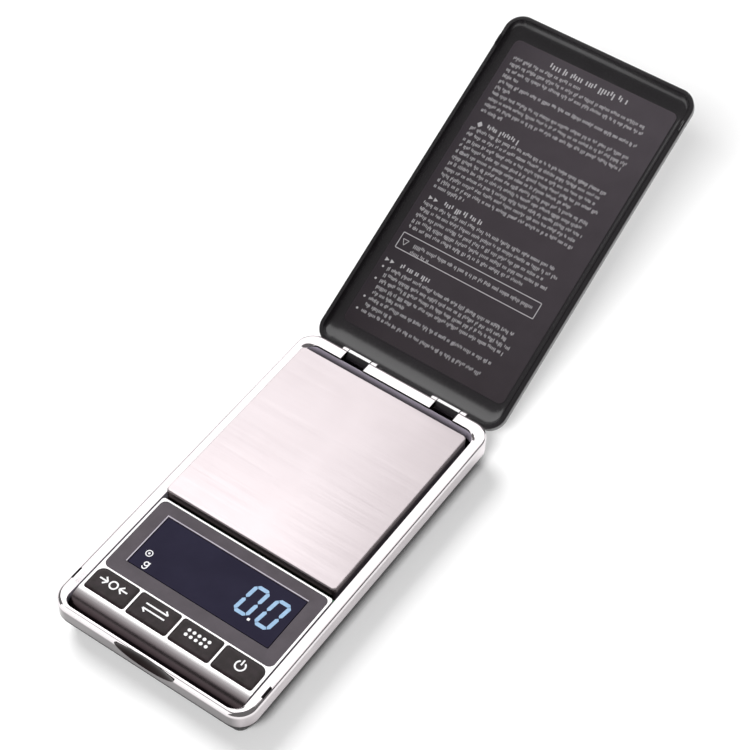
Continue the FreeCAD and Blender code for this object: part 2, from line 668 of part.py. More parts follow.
def make_strain_gauges():
    gauges = []
    for x in (-4.5, 4.5):
        gauges.append(box(x - 2.5, x + 2.5, TRAY_MID_Y - 1.8, TRAY_MID_Y + 1.8, BEAM_TOP, BEAM_TOP + 0.12))
        gauges.append(box(x - 2.5, x + 2.5, TRAY_MID_Y - 1.8, TRAY_MID_Y + 1.8, BEAM_BOTTOM - 0.12, BEAM_BOTTOM))
    return Part.makeCompound(gauges)


def make_load_cell_spacer():
    plate = box(-23.5, -11.5, TRAY_MID_Y - 6.0, TRAY_MID_Y + 6.0, FLOOR_TOP, BEAM_BOTTOM)
    return plate.cut([post(-BEAM_SCREW_X, TRAY_MID_Y + dy, 1.4, 0, 9) for dy in (-BEAM_SCREW_DY, BEAM_SCREW_DY)])


def make_load_cell_screws():
    screws = []
    for dy in (-BEAM_SCREW_DY, BEAM_SCREW_DY):
        screws.append(pan_screw(-BEAM_SCREW_X, TRAY_MID_Y + dy, 0.7, 2.2, 0.6, 1.25, 7.3))
    return Part.makeCompound(screws)


def make_overload_stop_screw():
    stop = post(21.9, TRAY_MID_Y, 1.5, 0.8, 3.55)
    return stop.cut(box(20.2, 23.6, TRAY_MID_Y - 0.25, TRAY_MID_Y + 0.25, 0, 1.4))


def make_load_cell_wires():
    wires = []
    for k in range(4):
        x = -11.5 + k
        wires.append(Part.makeCylinder(0.4, 24.3, Vector(x, -12.0, 7.4), Vector(0, 1, 0)))
    return Part.makeCompound(wires)


def make_tray_carrier():
    top = TRAY_TOP - TRAY_SHEET
    under = top - 1.4
    plate = slab(-26.8, 26.8, -12.0, 48.5, 2.0, under, top)
    boss = box(11.5, 23.5, TRAY_MID_Y - 5.5, TRAY_MID_Y + 5.5, BEAM_TOP + 0.45, under)
    ribs = [box(-25.0, 25.0, y - 0.6, y + 0.6, under - 1.4, under) for y in (-6.0, 4.0)]
    ribs += [box(x - 0.6, x + 0.6, -11.0, 9.5, under - 1.4, under) for x in (-18.0, 0.0, 18.0)]
    carrier = fused([plate, boss] + ribs)
    return carrier.cut([post(BEAM_SCREW_X, TRAY_MID_Y + dy, 1.2, 0, under) for dy in (-BEAM_SCREW_DY, BEAM_SCREW_DY)])


def make_carrier_screws():
    screws = []
    for dy in (-BEAM_SCREW_DY, BEAM_SCREW_DY):
        screws.append(pan_screw(BEAM_SCREW_X, TRAY_MID_Y + dy, 2.6, 2.2, 1.0, 1.2, 13.8))
    return Part.makeCompound(screws)


def make_weighing_tray():
    tray = slab(-TRAY_HALF_W, TRAY_HALF_W, TRAY_FRONT, TRAY_REAR, 1.3, TRAY_BOTTOM, TRAY_TOP)
    tray = tray.makeFillet(0.5, edges_at(tray, TRAY_TOP))
    t = TRAY_SHEET
    inner = slab(-TRAY_HALF_W + t, TRAY_HALF_W - t, TRAY_FRONT + t, TRAY_REAR - t, 0.7, TRAY_BOTTOM - 1, TRAY_TOP - t)
    return tray.cut(inner)


# ---- write every node ---------------------------------------------------------------------
def all_nodes():
    nodes = {
        "base_shell": make_base_shell(),
        "rubber_feet": make_rubber_feet(),
        "battery_door": make_battery_door(),
        "case_screws": make_case_screws(),
        "chrome_frame": make_chrome_frame(),
        "left_hinge_pin": make_hinge_pin(HINGE_X[0]),
        "right_hinge_pin": make_hinge_pin(HINGE_X[1]),
        "lid_shell": swing_open(lid_shell_closed()),
        "lid_label": swing_open(lid_label_closed()),
        "key_deck": make_key_deck(),
        "deck_screws": make_deck_screws(),
        "display_panel": make_display_panel(),
        "display_window": make_display_window(),
        "lcd_glass": make_lcd_glass(),
        "lcd_backlight": make_lcd_backlight(),
        "lcd_holder": make_lcd_holder(),
        "lcd_connector_strip": make_connector_strip(),
        "switch_bodies": make_switch_bodies(),
        "main_pcb": make_main_pcb(),
        "microcontroller": make_microcontroller(),
        "converter_chip": make_converter_chip(),
        "crystal": make_crystal(),
        "capacitors": make_capacitors(),
        "front_battery": make_cell(0),
        "rear_battery": make_cell(1),
        "battery_springs": make_battery_springs(),
        "battery_contact_plates": make_contact_plates(),
        "red_battery_wire": make_battery_wire(-1),
        "black_battery_wire": make_battery_wire(1),
        "load_cell": make_load_cell(),
        "strain_gauges": make_strain_gauges(),
        "load_cell_spacer": make_load_cell_spacer(),
        "load_cell_screws": make_load_cell_screws(),
        "load_cell_wires": make_load_cell_wires(),
        "overload_stop_screw": make_overload_stop_screw(),
        "tray_carrier": make_tray_carrier(),
        "carrier_screws": make_carrier_screws(),
        "weighing_tray": make_weighing_tray(),
    }
    for name, xc in zip(KEY_NAMES, KEY_XS):
        nodes[name + "_key"] = make_key(xc)
        nodes[name + "_switch_plunger"] = make_plunger(xc)
    return nodes


os.makedirs("parts", exist_ok=True)
for node, shape in all_nodes().items():
    shape.translate(Vector(0, -FRAME_SHIFT, 0))
    shape.exportStep("parts/" + node + ".step")
    print(node, len(shape.Solids), round(shape.Volume, 2), shape.isValid())
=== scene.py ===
import json
import math
import random

import bmesh
import bpy
from mathutils import Matrix, Vector

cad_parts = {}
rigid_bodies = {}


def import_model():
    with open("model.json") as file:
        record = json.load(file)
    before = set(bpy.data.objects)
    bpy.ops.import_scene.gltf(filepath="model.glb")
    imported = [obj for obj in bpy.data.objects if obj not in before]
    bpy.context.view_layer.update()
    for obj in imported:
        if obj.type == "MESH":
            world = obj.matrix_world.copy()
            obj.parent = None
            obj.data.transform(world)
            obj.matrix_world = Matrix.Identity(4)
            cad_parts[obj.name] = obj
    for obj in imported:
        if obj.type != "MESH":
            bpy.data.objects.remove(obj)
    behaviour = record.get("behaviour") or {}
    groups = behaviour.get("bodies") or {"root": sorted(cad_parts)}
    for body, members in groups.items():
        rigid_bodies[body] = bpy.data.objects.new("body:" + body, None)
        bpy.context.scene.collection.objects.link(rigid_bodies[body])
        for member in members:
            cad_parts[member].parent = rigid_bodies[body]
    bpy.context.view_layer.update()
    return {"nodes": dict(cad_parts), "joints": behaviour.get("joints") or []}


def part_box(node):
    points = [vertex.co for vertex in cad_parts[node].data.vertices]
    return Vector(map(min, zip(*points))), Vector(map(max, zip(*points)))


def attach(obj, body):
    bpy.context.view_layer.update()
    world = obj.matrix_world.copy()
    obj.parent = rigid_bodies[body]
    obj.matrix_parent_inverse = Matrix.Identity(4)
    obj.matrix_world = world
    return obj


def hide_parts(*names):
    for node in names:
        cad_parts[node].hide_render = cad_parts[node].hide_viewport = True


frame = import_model()

# Everything is drawn in millimetres about the middle of the body, with z = 0 under the feet,
# and moved into the frame's metres when a piece is finished. The lid is drawn closed.

# ---- sizes in millimetres -----------------------------------------------------------------
HALF_W = 32.5
HALF_L = 58.43
CORNER_R = 6.0
BAND_Z = 8.0
BAND_CHAMFER = 0.12
RIM_Z = 13.7
RIM_ROUND = 1.45
FRAME_WALL = 1.3
DECK_Z = 13.0
ABOVE = 20.0            # clears the closed lid: the top of every cutting tool

WELL_FRONT = 1.63       # widths of the rim between the outer wall and the well
WELL_SIDE = 3.35
WELL_REAR = 4.18
WELL_R = 3.6
# Rings of the rim's inner edge, from its flat top down to the lining: how far each stays back from
# the well's side, front and rear walls, how much rounder its corners are than the well's, and how
# far it lies below the rim at the two ends and along the sides.
RIM_EDGE = (
    (1.50, 0.14, 0.25, 0.80, 0.00, 0.00),
    (1.40, 0.11, 0.15, 0.70, 0.01, 0.02),
    (1.00, 0.10, 0.12, 0.55, 0.02, 0.10),
    (0.12, 0.05, 0.05, 0.08, 0.07, 0.70),
    (0.00, 0.00, 0.00, 0.00, 0.20, 0.72),
)
LIP_BOTTOM = 9.2        # lip that the key deck rests against
LIP_TOP = 11.9
LIP_T = 0.85
LINER_TOP = 12.95       # dark lining of the well
LINER_T = 0.1

GROOVE_SIDE = 0.62      # fine line that runs round the rim, from the outer edge
GROOVE_REAR = 1.0
GROOVE_HALF = 0.11
GROOVE_BOTTOM = 13.15
SLOT_IN = 31.2          # slots in the rim for the lid's catches
SLOT_OUT = 31.95
SLOT_FRONT = -49.54
SLOT_REAR = -45.54
SLOT_DEPTH = 1.25
CATCH_IN = 31.35
CATCH_OUT = 31.8
CATCH_FRONT = -49.2
CATCH_REAR = -45.9
CATCH_DROP = 1.0

SCOOP_HALF_W = 10.0
SCOOP_HALF_H = 3.3
SCOOP_DEPTH = 1.05

DECK_ROLL_START = -49.5
DECK_ROLL_R = 8.9
DECK_T = 1.8
PANEL_T = 0.8
PANEL_R = 1.8
DIGIT_W = 3.95
DIGIT_H = 9.25
DIGIT_BAR = 1.15
SMALL_MARK_W = 0.34     # strokes of the gram sign

HINGE_X = (-14.1, 16.9)
NOTCH_HALF = 4.0
NOTCH_BOTTOM = 9.5
KNUCKLE_HALF = 3.8
KNUCKLE_R = 1.8
EAR_W = 1.9
EAR_FRONT = 55.6
PIN_R = 0.75
LEAF_FROM = 222.0       # bright strip on the knuckle, in degrees round the pin with the lid shut
LEAF_SWEEP = 36.0

LID_HALF_W = 32.19
LID_HALF_L = 58.12
LID_H = 5.0
LID_DEPTH = 3.5
LID_WALL = 1.2
LID_ROUND = 3.2
LID_SIDE_COVE = 2.6
LID_END_COVE_R = 5.6
LID_MOUTH_R = 4.5
LID_FLOOR_R = 3.2
LID_NEAR_STRETCH = 1.4  # the hollow curve is that much wider at the hinge end
LID_SEAT_Z = RIM_Z + 0.15
LABEL_Z = LID_SEAT_Z + LID_DEPTH - 0.12
PRINT_Z = LABEL_Z - 0.03

PRINT_LEFT = -25.6
ROW_PITCH = 2.1
TEXT = (1.25, 0.21)     # height and stroke width of the rows of print
SUB_HEAD = (1.7, 0.42)
HEADING = (2.1, 0.46)

KEY_GAP = 0.06
KEY_FLANGE_X = 0.25     # how far the hidden flange stands out round a key cap
KEY_FLANGE_Y = 0.35
KEY_ROUND_W = 1.1       # soft edge of a key cap
KEY_ROUND_H = 0.42
SIGN_W = 0.48           # width of the printed lines
SIGN_REAR = 0.7         # how far the signs sit behind the middle of the key
KEY_NAMES = ("tare", "unit", "count", "power")

TRAY_SHEET = 0.6
TRAY_CORNER = 1.3
TRAY_ROUND = 0.5

# ---- place in the frame -------------------------------------------------------------------
base_low, base_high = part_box("base_shell")
MIDDLE = Vector(((base_low.x + base_high.x) / 2, (base_low.y + base_high.y) / 2, 0))
TO_FRAME = Matrix.Translation(MIDDLE) @ Matrix.Scale(0.001, 4)

hinge = next(j for j in frame["joints"] if j["name"] == "lid_hinge")
HINGE_AT = Vector(hinge["pos_m"])
HINGE_Y = (HINGE_AT.y - MIDDLE.y) * 1000
HINGE_Z = HINGE_AT.z * 1000
OPEN_LID = (Matrix.Translation(HINGE_AT)
            @ Matrix.Rotation(-math.radians(hinge["range_deg"][1]), 4, "X")
            @ Matrix.Translation(-HINGE_AT))


def extent(node):
    """Lowest and highest corner of a CAD node: x0, x1, y0, y1, z0, z1."""
    low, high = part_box(node)
    low = (low - MIDDLE) * 1000
    high = (high - MIDDLE) * 1000
    return low.x, high.x, low.y, high.y, low.z, high.z


# ---- shapes: a shape is a list of points and a list of faces ------------------------------
def circle_points(cx, cy, r, count, start=0.0, sweep=360.0):
    closed = sweep >= 360.0
    steps = count if closed else count - 1
    turn = [math.radians(start + sweep * k / steps) for k in range(count)]
    return [(cx + r * math.cos(a), cy + r * math.sin(a)) for a in turn]


def rounded_loop(x0, x1, y0, y1, r, z, arc=10, across=2, along=2):
    """Rectangle with round corners, anticlockwise from the front left. r is one radius or four:
    front left, front right, rear right, rear left."""
    radii = r if isinstance(r, tuple) else (r, r, r, r)
    centres = [
        (x0 + radii[0], y0 + radii[0], 180),
        (x1 - radii[1], y0 + radii[1], 270),
        (x1 - radii[2], y1 - radii[2], 0),
        (x0 + radii[3], y1 - radii[3], 90),
    ]
    corners = [circle_points(cx, cy, radius, arc + 1, start, 90)
               for (cx, cy, start), radius in zip(centres, radii)]
    points = []
    for k in range(4):
        points += corners[k]
        first, last = corners[k][-1], corners[(k + 1) % 4][0]
        steps = across if k % 2 == 0 else along
        for s in range(1, steps):
            t = s / steps
            points.append((first[0] + (last[0] - first[0]) * t, first[1] + (last[1] - first[1]) * t))
    return [(x, y, z) for x, y in points]


def loft(loops, ring=False):
    """Closed skin over loops of equal length. A ring joins its last loop to its first."""
    count = len(loops[0])
    points = [p for loop in loops for p in loop]
    faces = []
    pairs = len(loops) if ring else len(loops) - 1
    for k in range(pairs):
        a = k * count
        b = (k + 1) % len(loops) * count
        for i in range(count):
            j = (i + 1) % count
            faces.append((a + i, a + j, b + j, b + i))
    if not ring:
        faces.append(tuple(range(count))[::-1])
        faces.append(tuple(range((len(loops) - 1) * count, len(loops) * count)))
    return points, faces


def prism(outline, z0, z1):
    return loft([[(x, y, z0) for x, y in outline], [(x, y, z1) for x, y in outline]])


def side_prism(outline, x0, x1):
    """Prism along X over a closed outline of (y, z) points."""
    return loft([[(x0, y, z) for y, z in outline], [(x1, y, z) for y, z in outline]])


def block(x0, x1, y0, y1, z0, z1):
    return prism([(x0, y0), (x1, y0), (x1, y1), (x0, y1)], z0, z1)


def plate(x0, x1, y0, y1, r, z0, z1, arc=10):
    return loft([rounded_loop(x0, x1, y0, y1, r, z0, arc), rounded_loop(x0, x1, y0, y1, r, z1, arc)])


def together(shapes):
    points = []
    faces = []
    for shape_points, shape_faces in shapes:
        start = len(points)
        points += shape_points
        faces += [tuple(start + i for i in face) for face in shape_faces]
    return points, faces


def stroke(x0, y0, x1, y1, width, z0, z1):
    """Flat bar between two points."""
    along = Vector((x1 - x0, y1 - y0)).normalized()
    side = Vector((-along.y, along.x)) * width / 2
    corners = [(x0 - side.x, y0 - side.y), (x1 - side.x, y1 - side.y),
               (x1 + side.x, y1 + side.y), (x0 + side.x, y0 + side.y)]
    return prism(corners, z0, z1)


def hoop(outer, inner, z0, z1):
    """Flat ring between two outlines."""
    loops = ((outer, z0), (outer, z1), (inner, z1), (inner, z0))
    return loft([[(p[0], p[1], z) for p in outline] for outline, z in loops], ring=True)


def arc_stroke(cx, cy, r, width, z0, z1, start=0.0, sweep=360.0, count=40):
    """Flat ring, or part of one."""
    outer = circle_points(cx, cy, r + width / 2, count, start, sweep)
    inner = circle_points(cx, cy, r - width / 2, count, start, sweep)
    if sweep < 360.0:
        return prism(outer + inner[::-1], z0, z1)
    return hoop(outer, inner, z0, z1)


# ---- making objects -----------------------------------------------------------------------
def make_object(name, shape):
    mesh = bpy.data.meshes.new(name)
    mesh.from_pydata(shape[0], [], shape[1])
    build = bmesh.new()
    build.from_mesh(mesh)
    bmesh.ops.recalc_face_normals(build, faces=build.faces)
    build.to_mesh(mesh)
    build.free()
    obj = bpy.data.objects.new(name, mesh)
    bpy.context.scene.collection.objects.link(obj)
    return obj


def apply_modifiers(obj):
    bpy.context.view_layer.update()
    graph = bpy.context.evaluated_depsgraph_get()
    mesh = bpy.data.meshes.new_from_object(obj.evaluated_get(graph), depsgraph=graph)
    obj.modifiers.clear()
    old = obj.data
    obj.data = mesh
    bpy.data.meshes.remove(old)


def combine(obj, shape, operation="DIFFERENCE"):
    cutter = make_object("cutter", shape)
    modifier = obj.modifiers.new("combine", "BOOLEAN")
    modifier.object = cutter
    modifier.operation = operation
    modifier.solver = "EXACT"
    apply_modifiers(obj)
    bpy.data.objects.remove(cutter)


def soften(obj, width, angle=40, segments=2):
    """Small round on every edge sharper than the angle."""
    modifier = obj.modifiers.new("soften", "BEVEL")
    modifier.width = width
    modifier.segments = segments
    modifier.limit_method = "ANGLE"
    modifier.angle_limit = math.radians(angle)
    modifier.harden_normals = False
    apply_modifiers(obj)


def finish_piece(obj, body, look, replaces=(), turn=None, sharp=32):
    obj.data.transform(TO_FRAME)
    if turn is not None:
        obj.data.transform(turn)
    obj.data.shade_smooth()
    obj.data.set_sharp_from_angle(angle=math.radians(sharp))
    obj.data.materials.clear()
    obj.data.materials.append(MATERIALS[look])
    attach(obj, body)
    if replaces:
        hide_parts(*replaces)


def add_piece(name, shape, body, look, replaces=(), turn=None, sharp=32):
    finish_piece(make_object(name, shape), body, look, replaces, turn, sharp)


# ---- materials ----------------------------------------------------------------------------
def new_material(name):
    material = bpy.data.materials.new(name)
    material.use_nodes = True
    tree = material.node_tree
    return material, tree, tree.nodes["Principled BSDF"]


def add_noise(tree, scale, detail=4.0, stretch=(1, 1, 1)):
    """Noise over object coordinates, which are metres, with its scale per metre."""
    coords = tree.nodes.new("ShaderNodeTexCoord")
    mapping = tree.nodes.new("ShaderNodeMapping")
    mapping.inputs["Scale"].default_value = stretch
    noise = tree.nodes.new("ShaderNodeTexNoise")
    noise.inputs["Scale"].default_value = scale
    noise.inputs["Detail"].default_value = detail
    tree.links.new(coords.outputs["Object"], mapping.inputs["Vector"])
    tree.links.new(mapping.outputs["Vector"], noise.inputs["Vector"])
    return noise


def vary(tree, noise, socket, low, high):
    """Drive a number between low and high with the noise."""
    spread = tree.nodes.new("ShaderNodeMapRange")
    spread.inputs["From Min"].default_value = 0.3
    spread.inputs["From Max"].default_value = 0.7
    spread.inputs["To Min"].default_value = low
    spread.inputs["To Max"].default_value = high
    tree.links.new(noise.outputs["Fac"], spread.inputs["Value"])
    tree.links.new(spread.outputs["Result"], socket)


def vary_colour(tree, noise, socket, dark, light):
    ramp = tree.nodes.new("ShaderNodeValToRGB")
    ramp.color_ramp.elements[0].position = 0.32
    ramp.color_ramp.elements[1].position = 0.68
    ramp.color_ramp.elements[0].color = (*dark, 1)
    ramp.color_ramp.elements[1].color = (*light, 1)
    tree.links.new(noise.outputs["Fac"], ramp.inputs["Fac"])
    tree.links.new(ramp.outputs["Color"], socket)


def add_bump(tree, shader, noise, strength, distance):
    bump = tree.nodes.new("ShaderNodeBump")
    bump.inputs["Strength"].default_value = strength
    bump.inputs["Distance"].default_value = distance
    tree.links.new(noise.outputs["Fac"], bump.inputs["Height"])
    tree.links.new(bump.outputs["Normal"], shader.inputs["Normal"])


def surface(name, dark, light, rough, metallic=0.0, grain=900.0, bump=0.1, bump_depth=0.00002,
            stretch=(1, 1, 1), coat=0.0, specular=0.5):
    """General finish: colour and roughness that vary a little, over a fine grain."""
    material, tree, shader = new_material(name)
    shader.inputs["Metallic"].default_value = metallic
    shader.inputs["Specular IOR Level"].default_value = specular
    shader.inputs["Coat Weight"].default_value = coat
    shader.inputs["Coat Roughness"].default_value = 0.05
    broad = add_noise(tree, grain / 12, 3.0, stretch)
    fine = add_noise(tree, grain, 5.0, stretch)
    vary_colour(tree, broad, shader.inputs["Base Color"], dark, light)
    vary(tree, fine, shader.inputs["Roughness"], rough[0], rough[1])
    add_bump(tree, shader, fine, bump, bump_depth)
    return material


def object_ramp(tree, axis, stops):
    """Colours along an object axis: stops are (millimetres in drawing units, colour)."""
    low, high = stops[0][0], stops[-1][0]
    shift = MIDDLE[axis]
    coords = tree.nodes.new("ShaderNodeTexCoord")
    split = tree.nodes.new("ShaderNodeSeparateXYZ")
    spread = tree.nodes.new("ShaderNodeMapRange")
    spread.inputs["From Min"].default_value = low * 0.001 + shift
    spread.inputs["From Max"].default_value = high * 0.001 + shift
    ramp = tree.nodes.new("ShaderNodeValToRGB")
    elements = ramp.color_ramp.elements
    while len(elements) < len(stops):
        elements.new(0.5)
    for element, (place, colour) in zip(elements, stops):
        element.position = (place - low) / (high - low)
        element.color = (*colour, 1)
    tree.links.new(coords.outputs["Object"], split.inputs["Vector"])
    tree.links.new(split.outputs[axis], spread.inputs["Value"])
    tree.links.new(spread.outputs["Result"], ramp.inputs["Fac"])
    return ramp


def multiply(tree, socket, colour):
    """Multiply what drives the socket by another colour."""
    mix = tree.nodes.new("ShaderNodeMix")
    mix.data_type = "RGBA"
    mix.blend_type = "MULTIPLY"
    mix.inputs["Factor"].default_value = 1.0
    tree.links.new(socket.links[0].from_socket, mix.inputs["A"])
    tree.links.new(colour, mix.inputs["B"])
    tree.links.new(mix.outputs["Result"], socket)


def shade_along(material, axis, stops):
    tree = material.node_tree
    ramp = object_ramp(tree, axis, stops)
    multiply(tree, tree.nodes["Principled BSDF"].inputs["Base Color"], ramp.outputs["Color"])


def tint(grey, warm=0.97):
    return (grey, grey * warm, grey * (warm + 0.01))


def chrome_painted_shade():
    """Bright plate with painted shade: a little greyer at the foot of the band, for the shade next to the
    floor, and darkest along its front, for the shaded floor that the front band reflects.
    """
    material = surface("bright chrome plate with painted shade", (0.76, 0.745, 0.75), (0.84, 0.825, 0.83), (0.05, 0.10),
                       metallic=1.0, grain=700.0, bump=0.03, bump_depth=0.00001)
    # painted shade: greyer towards the foot of the band, next to the floor
    shade_along(material, 2, [(8.0, tint(0.62)), (8.3, tint(0.76)), (8.6, tint(0.90)), (9.6, tint(1.0))])
    tree = material.node_tree
    # painted shade: darkest along the front of the band, which reflects the shaded floor in front
    front = object_ramp(tree, 1, [(-58.6, tint(0.03)), (-58.2, tint(0.08)), (-57.0, tint(0.68)),
                                  (-52.0, tint(1.0))])
    low = object_ramp(tree, 2, [(8.35, (1, 1, 1)), (8.6, (0.76, 0.76, 0.76)),
                                (11.9, (0.76, 0.76, 0.76)), (12.6, (0, 0, 0))])
    shade = tree.nodes.new("ShaderNodeMix")
    shade.data_type = "RGBA"
    shade.inputs["A"].default_value = (1, 1, 1, 1)
    tree.links.new(low.outputs["Color"], shade.inputs["Factor"])
    tree.links.new(front.outputs["Color"], shade.inputs["B"])
    multiply(tree, tree.nodes["Principled BSDF"].inputs["Base Color"], shade.outputs["Result"])
    return material


def deck_chrome_painted_reflection():
    """Satin plate with a painted reflection: its colour darkens to a dark brown down the rolled front edge,
    standing in for the dark surroundings that the roll reflects.
    """
    material = surface("satin chrome plate with painted reflection", (0.78, 0.765, 0.77), (0.84, 0.825, 0.83), (0.16, 0.20),
                       metallic=1.0, grain=500.0, bump=0.02, bump_depth=0.000002)
    # painted reflection: colour darkens down the rolled front edge
    shade_along(material, 2, [(9.7, (0.012, 0.009, 0.010)), (10.9, (0.026, 0.020, 0.022)),
                              (11.4, (0.044, 0.033, 0.036)), (11.8, (0.074, 0.058, 0.062)),
                              (12.17, (0.10, 0.084, 0.088)), (12.46, (0.155, 0.135, 0.140)),
                              (12.7, (0.26, 0.24, 0.245)), (12.865, (0.42, 0.405, 0.41)),
                              (12.96, (0.72, 0.71, 0.715)), (12.995, (1.0, 1.0, 1.0))])
    return material


def scoop_painted_reflection():
    """Painted dark reflection: a near-black chrome colour that stands in for the shade and dark reflection
    in the dished thumb hollow.
    """
    return surface("chrome hollow with painted dark reflection", (0.014, 0.010, 0.010), (0.030, 0.022, 0.023), (0.16, 0.24),
                   metallic=1.0, grain=600.0, bump=0.03, bump_depth=0.00001)


def label_painted_reflection():
    """Plum film with a painted reflection: its colour fades towards black at the hinge end and darkens
    towards the left, standing in for the darker surroundings it reflects there.
    """
    material = surface("plum label film with painted reflection", (0.90, 0.90, 0.90), (1.0, 1.0, 1.0), (0.42, 0.50),
                       grain=1800.0, bump=0.04, specular=0.25)
    # painted reflection: darker towards the hinge end and towards the left
    shade_along(material, 1, [(64.0, (0.026, 0.021, 0.024)), (85.0, (0.030, 0.025, 0.029)),
                              (125.0, (0.036, 0.030, 0.035)), (160.0, (0.046, 0.039, 0.045))])
    shade_along(material, 0, [(-28.0, (0.72, 0.70, 0.72)), (-12.0, (1.0, 1.0, 1.0)),
                              (28.0, (1.1, 1.1, 1.1))])
    return material


def gloss_black(name, colour, rough, specular=0.5):
    light = tuple(c * 1.25 for c in colour)
    return surface(name, colour, light, rough, grain=1500.0, bump=0.03, bump_depth=0.00001,
                   specular=specular)


def textured_black():
    """Key caps: fine spark-eroded grain on warm black plastic."""
    return surface("grained key plastic", (0.009, 0.006, 0.006), (0.021, 0.014, 0.016), (0.34, 0.46),
                   grain=5200.0, bump=0.35, bump_depth=0.00004, specular=0.36)


def panel_finish():
    return surface("satin plum panel", (0.045, 0.036, 0.044), (0.058, 0.047, 0.057), (0.34, 0.42),
                   grain=2600.0, bump=0.08, bump_depth=0.00002)


def brushed_steel_painted_shade():
    """Stainless sheet with its grain along X and painted shade: darker towards the right and the rear, and
    near black on its turned-down sides.
    """
    material, tree, shader = new_material("brushed stainless sheet with painted shade")
    shader.inputs["Metallic"].default_value = 1.0
    streaks = add_noise(tree, 240.0, 6.0, (0.12, 14.0, 14.0))
    cloud = add_noise(tree, 60.0, 3.0)
    vary_colour(tree, cloud, shader.inputs["Base Color"], (0.84, 0.77, 0.776), (0.88, 0.81, 0.817))
    vary(tree, streaks, shader.inputs["Roughness"], 0.30, 0.42)
    add_bump(tree, shader, streaks, 0.06, 0.00002)
    # painted shade: darker towards the right, the rear and on the turned-down sides
    shade_along(material, 0, [(0.0, tint(1.0, 0.99)), (28.5, tint(0.79, 0.99))])
    shade_along(material, 1, [(-13.6, tint(1.0, 0.99)), (15.0, tint(0.86, 0.99)), (50.2, tint(0.78, 0.99))])
    shade_along(material, 2, [(14.9, (0.05, 0.036, 0.036)), (15.75, (0.10, 0.08, 0.08)), (15.95, (1, 1, 1))])
    return material


def plain(name, colour, rough=0.5, metallic=0.0, grain=1200.0, bump=0.1):
    light = tuple(min(1.0, c * 1.2 + 0.004) for c in colour)
    return surface(name, colour, light, (rough * 0.85, min(1.0, rough * 1.15)), metallic=metallic,
                   grain=grain, bump=bump)


def lit_segment():
    material, tree, shader = new_material("lit display segment")
    vary_colour(tree, add_noise(tree, 900.0, 2.0), shader.inputs["Base Color"], (0.10, 0.15, 0.20),
                (0.16, 0.22, 0.28))
    shader.inputs["Roughness"].default_value = 0.5
    shader.inputs["Emission Color"].default_value = (0.30, 0.50, 0.76, 1)
    shader.inputs["Emission Strength"].default_value = 0.62
    return material


def printed_mark(name, dark, light):
    material, tree, shader = new_material(name)
    vary_colour(tree, add_noise(tree, 3000.0, 2.0), shader.inputs["Base Color"], dark, light)
    shader.inputs["Roughness"].default_value = 0.55
    return material


MATERIALS = {
    "chrome": chrome_painted_shade(),
    "deck_chrome_painted_reflection": deck_chrome_painted_reflection(),
    "scoop": scoop_painted_reflection(),
    "liner": surface("mauve well lining", (0.46, 0.41, 0.49), (0.56, 0.51, 0.60), (0.38, 0.48),
                     grain=1100.0, bump=0.05),
    "body": gloss_black("black moulded body", (0.006, 0.005, 0.006), (0.50, 0.60), 0.2),
    "lid": gloss_black("polished black lid", (0.009, 0.008, 0.009), (0.20, 0.27), 1.0),
    "label": label_painted_reflection(),
    # painted highlight for the lit walls of the display window's recess
    "painted_edge_highlight": surface("painted pale highlight on window edge", (0.34, 0.31, 0.36), (0.44, 0.41, 0.46), (0.3, 0.4),
                          grain=1500.0),
    "key": textured_black(),
    "panel": panel_finish(),
    "display": surface("dark display glass", (0.013, 0.011, 0.026), (0.016, 0.014, 0.031), (0.10, 0.14),
                       grain=1400.0, bump=0.01, specular=0.08),
    "tray": brushed_steel_painted_shade(),
    "segment": lit_segment(),
    "white": printed_mark("white printed mark", (0.72, 0.72, 0.73), (0.86, 0.86, 0.87)),
    "grey": printed_mark("grey printed mark", (0.26, 0.25, 0.26), (0.36, 0.35, 0.36)),
    "leaf": surface("polished hinge leaf", (0.74, 0.73, 0.73), (0.84, 0.83, 0.83), (0.10, 0.16),
                    metallic=1.0),
    "steel": plain("zinc plated steel", (0.50, 0.50, 0.51), 0.35, 1.0),
    "rubber": plain("matt rubber", (0.016, 0.016, 0.016), 0.8, bump=0.4),
    "aluminium": plain("machined aluminium", (0.72, 0.72, 0.73), 0.32, 1.0),
    "grey_plastic": plain("grey moulded plastic", (0.20, 0.20, 0.205), 0.5),
    "white_plastic": plain("white moulded plastic", (0.72, 0.72, 0.70), 0.5),
    "board": surface("green solder mask", (0.008, 0.075, 0.030), (0.014, 0.115, 0.050), (0.30, 0.42),
                     grain=1300.0, bump=0.2),
    "chip": plain("moulded chip", (0.014, 0.014, 0.014), 0.6),
    "tin": plain("tinned metal", (0.55, 0.55, 0.56), 0.3, 1.0),
    "ceramic": plain("brown ceramic", (0.42, 0.28, 0.15), 0.5),
    "film": plain("polyimide film", (0.52, 0.22, 0.05), 0.35),
    "battery": surface("battery jacket", (0.02, 0.025, 0.03), (0.035, 0.04, 0.05), (0.22, 0.32),
                       grain=600.0, coat=0.4),
    "red_wire": plain("red insulation", (0.42, 0.02, 0.02), 0.45),
    "black_wire": plain("black insulation", (0.015, 0.015, 0.015), 0.45),
    "pale_wire": plain("pale insulation", (0.60, 0.56, 0.48), 0.45),
}

